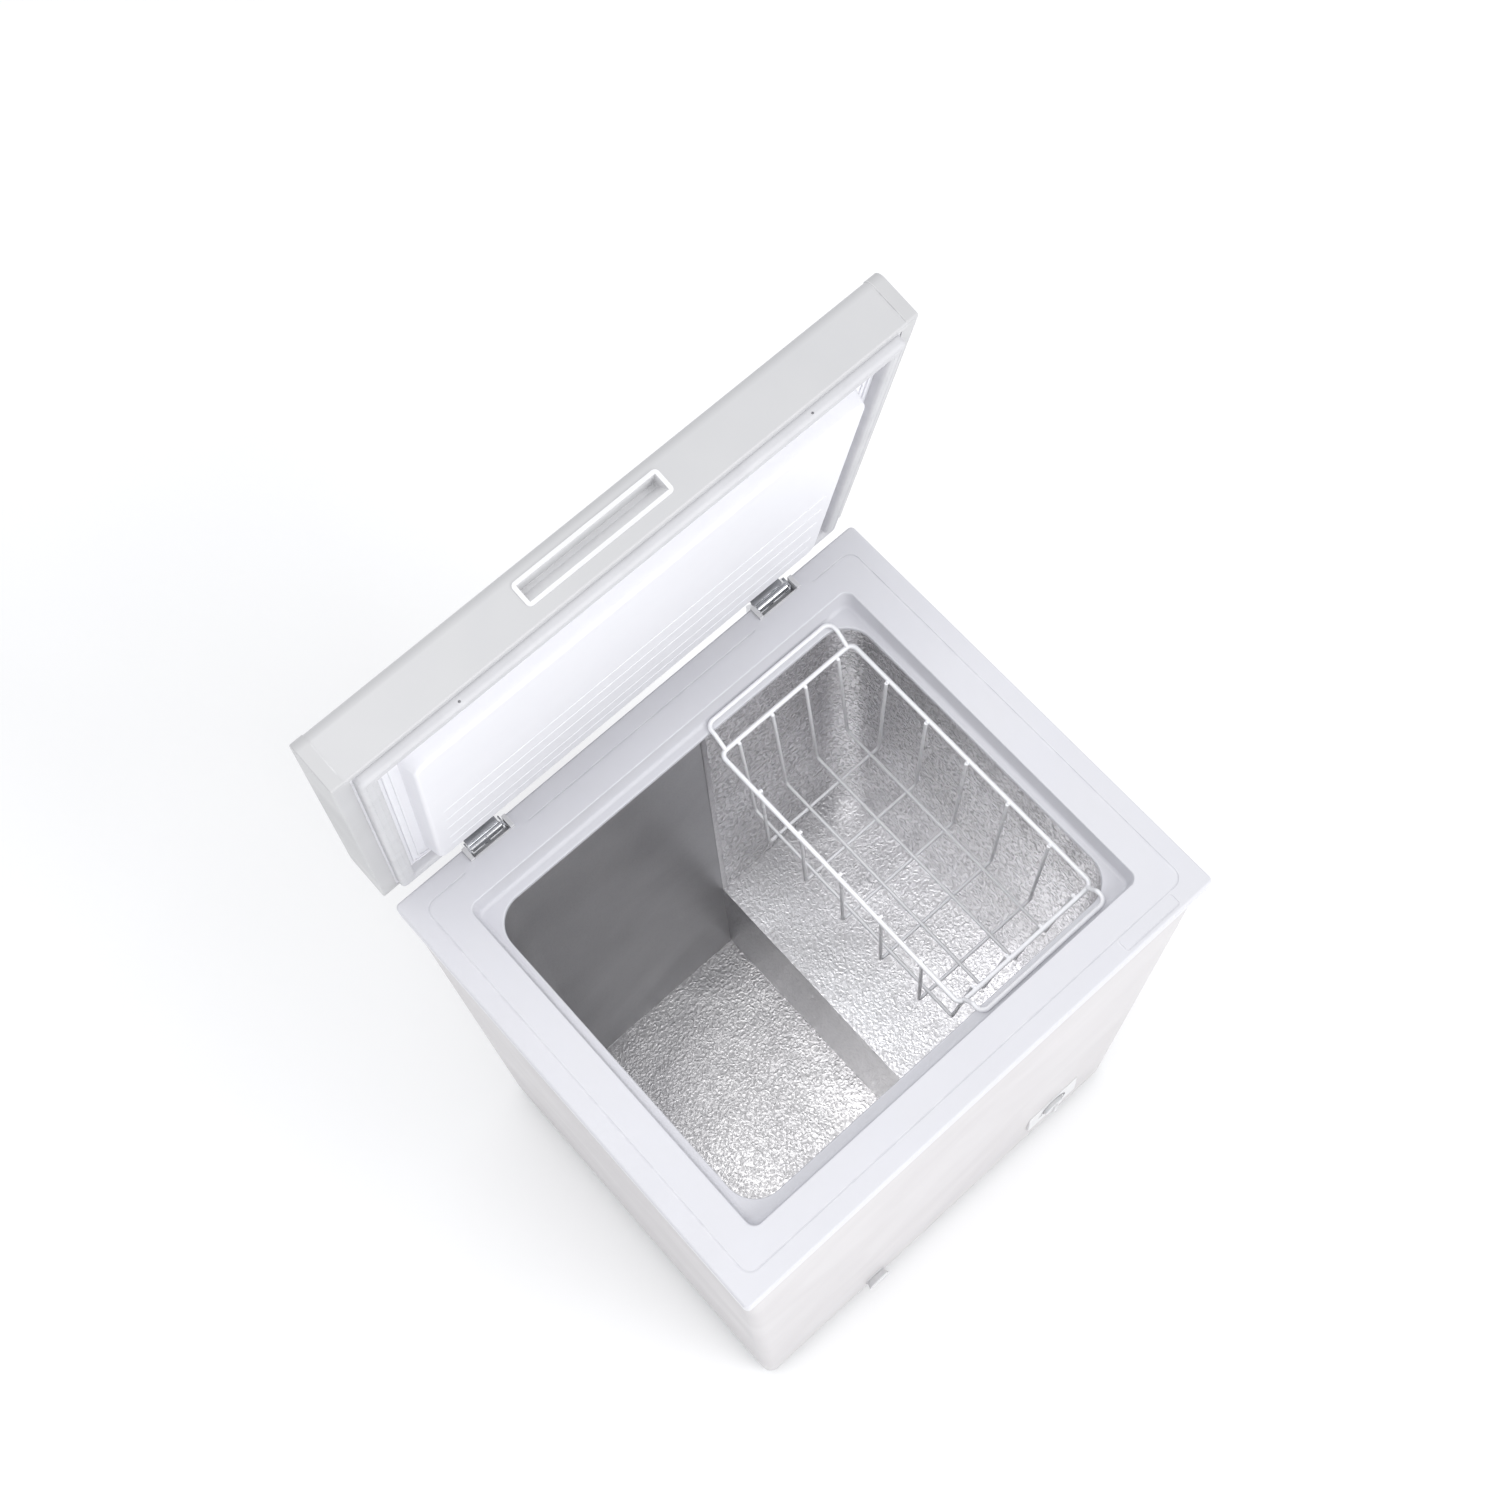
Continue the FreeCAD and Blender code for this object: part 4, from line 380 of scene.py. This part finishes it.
def seal_finish():
    """Soft white vinyl, dull and slightly uneven."""
    made = Finish("soft seal", Specular_IOR_Level=0.35)
    tint = made.effect(MOTTLE, Scale=25.0, Colour=rgb(0.62, 0.62, 0.64), Other_Colour=rgb(0.58, 0.58, 0.60))
    made.drive("Base Color", tint["Colour"])
    made.drive("Roughness", spread(made.tree, tint["Mask"], 0.0, 1.0, 0.5, 0.62))
    made.drive("Normal", made.effect(PEEL, Scale=500.0, Depth=0.00002)["Normal"])
    return made


def lamp_finish():
    made = Finish("amber lamp", Roughness=0.25, Coat_Weight=0.5)
    tint = made.effect(MOTTLE, Scale=200.0, Colour=rgb(0.80, 0.42, 0.10), Other_Colour=rgb(0.60, 0.28, 0.05))
    made.drive("Base Color", tint["Colour"])
    made.drive("Normal", made.effect(PEEL, Scale=600.0, Depth=0.00002)["Normal"])
    return made


def rubber_finish(name, colour, other):
    made = Finish(name, Specular_IOR_Level=0.3)
    tint = made.effect(MOTTLE, Scale=60.0, Colour=colour, Other_Colour=other)
    made.drive("Base Color", tint["Colour"])
    made.drive("Roughness", spread(made.tree, tint["Mask"], 0.0, 1.0, 0.6, 0.8))
    made.drive("Normal", made.effect(PEEL, Scale=900.0, Depth=0.00004)["Normal"])
    return made


FRAME_WHITE = moulded("frame moulding", rgb(0.675, 0.675, 0.712), rgb(0.66, 0.66, 0.693))
CABINET_WHITE = moulded("cabinet enamel", rgb(0.56, 0.54, 0.55), rgb(0.545, 0.525, 0.535), rough=(0.3, 0.4),
                        peel=420.0, depth=0.000003, coat=0.1)
LID_WHITE = moulded("lid enamel", rgb(0.56, 0.56, 0.57), rgb(0.545, 0.545, 0.555), rough=(0.3, 0.4),
                    peel=420.0, depth=0.000003, coat=0.1)
CAP_GREY = moulded("end cap moulding", rgb(0.54, 0.54, 0.548), rgb(0.525, 0.525, 0.533))
POCKET_GREY = moulded("handle moulding", rgb(0.80, 0.80, 0.81), rgb(0.77, 0.77, 0.78), rough=(0.45, 0.55))
FITTING_WHITE = moulded("white fitting", rgb(0.66, 0.66, 0.67), rgb(0.64, 0.64, 0.65), rough=(0.25, 0.35))
LINER_WHITE = moulded("white lid liner", rgb(0.85, 0.85, 0.885), rgb(0.83, 0.83, 0.865), rough=(0.34, 0.46),
                      dust=0.0)
WALL_METAL = wall_finish()
FLOOR_METAL = embossed("embossed floor", rgb(0.80, 0.79, 0.79), rgb(0.60, 0.59, 0.60))
STEP_METAL = embossed("embossed step", rgb(0.86, 0.855, 0.87), rgb(0.66, 0.655, 0.665))
HINGE_CHROME = plated("hinge chrome", rgb(0.80, 0.81, 0.83))
ZINC = plated("zinc plate", rgb(0.62, 0.64, 0.66), rough=(0.28, 0.42), depth=0.00001)
SPRING = plated("spring wire", rgb(0.35, 0.35, 0.36), rough=(0.2, 0.35))
COPPER = plated("copper tube", rgb(0.72, 0.38, 0.24), rough=(0.2, 0.4))
WIRE_WHITE = moulded("dipped wire", rgb(0.93, 0.93, 0.95), rgb(0.90, 0.90, 0.92), rough=(0.25, 0.35),
                     peel=420.0, depth=0.00004, dust=0.0)
INSULATION = insulation_finish()
SEAL = seal_finish()
LAMP = lamp_finish()
BLACK_RUBBER = rubber_finish("black rubber", rgb(0.025, 0.025, 0.027), rgb(0.04, 0.04, 0.042))
WHITE_RUBBER = rubber_finish("white rubber", rgb(0.75, 0.75, 0.76), rgb(0.70, 0.70, 0.71))
BLACK_PLASTIC = moulded("black plastic", rgb(0.03, 0.03, 0.032), rgb(0.045, 0.045, 0.048), rough=(0.45, 0.6),
                        edge_sheen_and_scuff=rgb(0.12, 0.12, 0.12), dust=0.2)
GREY_PLASTIC = moulded("grey plastic", rgb(0.22, 0.23, 0.24), rgb(0.26, 0.27, 0.28), rough=(0.45, 0.6),
                       edge_sheen_and_scuff=rgb(0.4, 0.4, 0.4), dust=0.2)
COMPRESSOR_BLACK = moulded("compressor enamel", rgb(0.02, 0.02, 0.022), rgb(0.035, 0.035, 0.037),
                           rough=(0.3, 0.45), edge_sheen_and_scuff=rgb(0.15, 0.14, 0.13), dust=0.5)
PRINT_GREY = moulded("printed grey", rgb(0.18, 0.18, 0.19), rgb(0.22, 0.22, 0.23), rough=(0.5, 0.6), dust=0.0)

DRESS = {
    FRAME_WHITE: ["top_frame"],
    CABINET_WHITE: ["cabinet_wrap", "back_panel"],
    LID_WHITE: ["lid_skin"],
    CAP_GREY: ["lid_end_cap_left", "lid_end_cap_right"],
    POCKET_GREY: ["handle_pocket"],
    FITTING_WHITE: ["thermostat_panel", "thermostat_knob", "drain_pipe", "drain_cap", "hinge_cover_left",
                    "hinge_cover_right"],
    LINER_WHITE: ["lid_liner"],
    WALL_METAL: ["liner_walls"],
    FLOOR_METAL: ["liner_floor"],
    STEP_METAL: ["liner_step"],
    HINGE_CHROME: ["hinge_bracket_left", "hinge_bracket_right", "hinge_pin_left", "hinge_pin_right",
                   "hinge_leaf_left", "hinge_leaf_right"],
    ZINC: ["base_plate", "machine_bay_wall", "back_screws", "grille_screws", "compressor_bolts",
           "hinge_bracket_screws", "hinge_leaf_screws"],
    SPRING: ["hinge_spring_left", "hinge_spring_right"],
    COPPER: ["evaporator_tube", "condenser_tube", "filter_drier", "suction_line", "discharge_line",
             "capillary_tube"],
    WIRE_WHITE: ["basket_rim", "basket_hangers", "basket_cross_wires", "basket_long_wires"],
    INSULATION: ["foam_base", "foam_walls", "foam_corners", "foam_rim", "lid_foam"],
    SEAL: ["lid_gasket"],
    LAMP: ["indicator_lamp"],
    BLACK_RUBBER: ["compressor_grommets", "foot_front_left", "foot_front_right", "foot_rear_left",
                   "foot_rear_right"],
    WHITE_RUBBER: ["floor_plug"],
    BLACK_PLASTIC: ["power_inlet_gland", "relay_cover"],
    GREY_PLASTIC: ["rear_grille", "thermostat_body"],
    COMPRESSOR_BLACK: ["compressor"],
}
for finish, names in DRESS.items():
    for name in names:
        for place in frame["nodes"][name].material_slots:
            place.material = finish.material


# ---------------------------------------------------------------- small pieces
def piece(name, work, finish, body, smooth=True):
    """Turns a bmesh into a piece that rides on a body."""
    bmesh.ops.recalc_face_normals(work, faces=work.faces)
    mesh = bpy.data.meshes.new(name)
    work.to_mesh(mesh)
    work.free()
    mesh.materials.append(finish.material)
    if smooth:
        mesh.shade_smooth()
    made = bpy.data.objects.new(name, mesh)
    bpy.context.scene.collection.objects.link(made)
    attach(made, body)
    return made


def add_block(work, centre, size, rounding):
    """A block with rounded edges."""
    made = bmesh.ops.create_cube(work, size=1.0)["verts"]
    bmesh.ops.scale(work, vec=size, verts=made)
    bmesh.ops.translate(work, vec=centre, verts=made)
    edges = list({edge for vert in made for edge in vert.link_edges})
    bmesh.ops.bevel(work, geom=edges, offset=rounding, offset_type="OFFSET", segments=2, profile=0.5,
                    affect="EDGES", material=-1)


def add_bead(work, place, radius):
    made = bmesh.ops.create_icosphere(work, subdivisions=2, radius=radius)["verts"]
    bmesh.ops.translate(work, vec=place, verts=made)


def add_ring(work, half_x, half_y, corner, width, height, z, centre_y):
    """A rounded-rectangle moulding: half_x and half_y are its outer half sizes, z its lowest level."""
    plate = bmesh.new()
    bmesh.ops.create_grid(plate, x_segments=1, y_segments=1, size=1.0)
    bmesh.ops.scale(plate, vec=(half_x, half_y, 1.0), verts=plate.verts)
    bmesh.ops.bevel(plate, geom=list(plate.verts), offset=corner * math.sqrt(2.0), offset_type="OFFSET",
                    segments=8, profile=0.5, affect="VERTICES", material=-1)
    bmesh.ops.inset_region(plate, faces=list(plate.faces), thickness=width, use_boundary=True,
                           use_even_offset=True)
    inner = [face for face in plate.faces if len(face.verts) > 4]
    bmesh.ops.delete(plate, geom=inner, context="FACES_ONLY")
    bmesh.ops.solidify(plate, geom=list(plate.faces), thickness=height)
    lowest = min(vert.co.z for vert in plate.verts)
    bmesh.ops.translate(plate, vec=(0.0, centre_y, z - lowest), verts=plate.verts)
    mesh = bpy.data.meshes.new("ring")
    plate.to_mesh(mesh)
    plate.free()
    work.from_mesh(mesh)
    bpy.data.meshes.remove(mesh)


def round_edges(work, offset):
    sharp = [edge for edge in work.edges if len(edge.link_faces) == 2 and edge.calc_face_angle(0.0) > 1.2]
    bmesh.ops.bevel(work, geom=sharp, offset=offset, offset_type="OFFSET", segments=2, profile=0.5,
                    affect="EDGES", material=-1)


def open_lid(work):
    """Swings what was made on the closed lid to where the lid stands."""
    bmesh.ops.rotate(work, cent=PIVOT, matrix=Matrix.Rotation(-LID_OPEN, 3, "X"), verts=work.verts)


def lid_liner_ribs():
    """Faint lengthwise lines pressed into the lid liner's flat face."""
    work = bmesh.new()
    for across in RIB_PLACES:
        add_block(work, (0.0, CABINET_Y + across * MM, BULGE_Z), RIB_SIZE, 0.3 * MM)
    open_lid(work)
    piece("lid_liner_ribs", work, LINER_WHITE, "lid")


def lid_liner_steps():
    """Low mouldings that run round the bulge's foot, inside the seal."""
    work = bmesh.new()
    for half_x, half_y, width, height, sunk in LINER_STEPS:
        add_ring(work, half_x * MM, half_y * MM, LINER_STEP_R, width * MM, height * MM, LID_RIM_Z - sunk * MM,
                 CABINET_Y)
    round_edges(work, 0.4 * MM)
    open_lid(work)
    piece("lid_liner_steps", work, LINER_WHITE, "lid")


def seal_ridges():
    """Folds of the magnetic seal: a raised outer bead and a thin inner lip."""
    work = bmesh.new()
    middle = (SEAL_Y[0] + SEAL_Y[1]) / 2
    half = (SEAL_Y[1] - SEAL_Y[0]) / 2
    for inset, corner, width, height, sunk in SEAL_FOLDS:
        add_ring(work, SEAL_X - inset * MM, half - inset * MM, corner * MM, width * MM, height * MM,
                 SEAL_Z - sunk * MM, middle)
    round_edges(work, 0.25 * MM)
    open_lid(work)
    piece("seal_ridges", work, SEAL, "lid")


def wall_seams():
    """Lapped edges where the sheets of the inner walls meet over the step's face."""
    work = bmesh.new()
    width, thickness = SEAM_SIZE
    tall = WALLS_TOP - STEP_HIGH[2]
    middle = (WALLS_TOP + STEP_HIGH[2]) / 2
    for side in (-1, 1):
        y = CABINET_Y + side * (LINER_Y - thickness / 2)
        add_block(work, (STEP_LOW[0] + width / 2, y, middle), (width, thickness, tall), 0.15 * MM)
    piece("wall_seams", work, STEP_METAL, "cabinet")


def basket_welds():
    """Small beads of coating where the basket's wires are welded."""
    work = bmesh.new()
    long_x = [LONG_LOW[0] + WIRE_R + i * LONG_PITCH for i in range(4)]
    cross_y = [CROSS_LOW[1] + WIRE_R + i * CROSS_PITCH for i in range(5)]
    for x in long_x:
        for y in cross_y:
            add_bead(work, (x, y, FLOOR_WELD_Z), FLOOR_BEAD)
    for x in long_x:
        for y in (RIM_LOW[1] + RIM_INSET, RIM_HIGH[1] - RIM_INSET):
            add_bead(work, (x, y, RIM_WELD_Z), RIM_BEAD)
    for y in cross_y:
        for x in (RIM_LOW[0] + RIM_INSET, RIM_HIGH[0] - RIM_INSET):
            add_bead(work, (x, y, RIM_WELD_Z), RIM_BEAD)
    piece("basket_welds", work, WIRE_WHITE, "basket")


def dial_scale():
    """Printed scale over the dial: a wedge that widens clockwise, with a dot at each end."""
    work = bmesh.new()
    centre = Vector(((KNOB_LOW[0] + KNOB_HIGH[0]) / 2, 0.0, (KNOB_LOW[2] + KNOB_HIGH[2]) / 2))
    turn = Matrix.Rotation(-SCALE_START, 3, "Y")
    for reach in (SCALE_R, SCALE_R + SCALE_THIN * MM):
        bmesh.ops.create_vert(work, co=centre + turn @ Vector((reach, 0.0, 0.0)))
    bmesh.ops.contextual_create(work, geom=list(work.verts))
    bmesh.ops.spin(work, geom=list(work.verts) + list(work.edges), cent=centre, axis=(0.0, 1.0, 0.0),
                   angle=SCALE_SWEEP, steps=28, use_merge=False)
    for vert in work.verts:
        arm = vert.co - centre
        if arm.length > SCALE_R + SCALE_THIN * MM / 2:
            along = (SCALE_START - math.atan2(arm.z, arm.x)) % (2 * math.pi) / SCALE_SWEEP
            vert.co = centre + arm.normalized() * (SCALE_R + (SCALE_THIN + SCALE_GROWTH * along) * MM)
    for angle, size in SCALE_DOTS:
        at = centre + Vector((math.cos(angle), 0.0, math.sin(angle))) * (SCALE_R + SCALE_GROWTH * MM / 2)
        place = Matrix.Translation(at) @ Matrix.Rotation(math.pi / 2, 4, "X")
        bmesh.ops.create_circle(work, cap_ends=True, radius=size, segments=20, matrix=place)
    bmesh.ops.solidify(work, geom=list(work.faces), thickness=0.2 * MM)
    for vert in work.verts:
        vert.co.y += PANEL_FACE - (PANEL_TOP - 1.0 * MM - vert.co.z) * PANEL_LEAN
    piece("dial_scale", work, PRINT_GREY, "cabinet", smooth=False)


lid_liner_ribs()
lid_liner_steps()
seal_ridges()
wall_seams()
basket_welds()
dial_scale()


# ---------------------------------------------------------------- studio
# Lights: place, aim, side and power.
LAMPS = {"key": ((2.2, -4.2, 5.2), (0.0, 0.0, 0.8), 3.0, 105.0),
         "top": ((-1.0, 0.4, 7.2), (0.0, 0.0, 0.6), 3.0, 95.0),
         "fill": ((-0.6, -5.0, 2.0), (0.0, 0.0, 0.8), 3.0, 70.0)}
ROOM_COLOUR = rgb(0.97, 0.98, 1.0)
ROOM_STRENGTH = 0.80
CAMERA_PLACE = Vector((-0.348081, CABINET_Y - 0.411280, FRAME_TOP + 1.849764))
CAMERA_FORWARD = Vector((0.204689, 0.274848, -0.939447))
CAMERA_ROLL = math.radians(5.4635)
CAMERA_LENS = 52.8827


def studio():
    """Pale floor, soft white surroundings and large soft lights."""
    mesh = bpy.data.meshes.new("studio_floor")
    work = bmesh.new()
    bmesh.ops.create_grid(work, x_segments=1, y_segments=1, size=6.0)
    work.to_mesh(mesh)
    work.free()
    floor = bpy.data.objects.new("studio_floor", mesh)
    bpy.context.scene.collection.objects.link(floor)
    pale = Finish("pale floor", Roughness=0.9, Specular_IOR_Level=0.1)
    tint = pale.effect(MOTTLE, Scale=2.0, Colour=rgb(0.99, 0.99, 0.99), Other_Colour=rgb(0.98, 0.98, 0.98))
    pale.drive("Base Color", tint["Colour"])
    mesh.materials.append(pale.material)

    world = bpy.data.worlds.new("soft room")
    world.use_nodes = True
    background = world.node_tree.nodes["Background"]
    background.inputs["Color"].default_value = ROOM_COLOUR
    background.inputs["Strength"].default_value = ROOM_STRENGTH
    bpy.context.scene.world = world

    for name, (place, aim, size, power) in LAMPS.items():
        light = bpy.data.lights.new(name, "AREA")
        light.size = size
        light.energy = power
        lamp = bpy.data.objects.new(name, light)
        lamp.location = place
        lamp.rotation_euler = (Vector(aim) - Vector(place)).to_track_quat("-Z", "Y").to_euler()
        bpy.context.scene.collection.objects.link(lamp)


def camera():
    """High, to the front left, looking down into the open freezer, slightly rolled."""
    lens = bpy.data.cameras.new("camera")
    lens.sensor_width = 36.0
    lens.lens = CAMERA_LENS
    lens.clip_start = 0.05
    view = bpy.data.objects.new("camera", lens)
    turn = CAMERA_FORWARD.to_track_quat("-Z", "Y").to_matrix() @ Matrix.Rotation(-CAMERA_ROLL, 3, "Z")
    view.matrix_world = Matrix.Translation(CAMERA_PLACE) @ turn.to_4x4()
    bpy.context.scene.collection.objects.link(view)
    bpy.context.scene.camera = view


studio()
camera()
bpy.context.scene.view_settings.view_transform = "Standard"
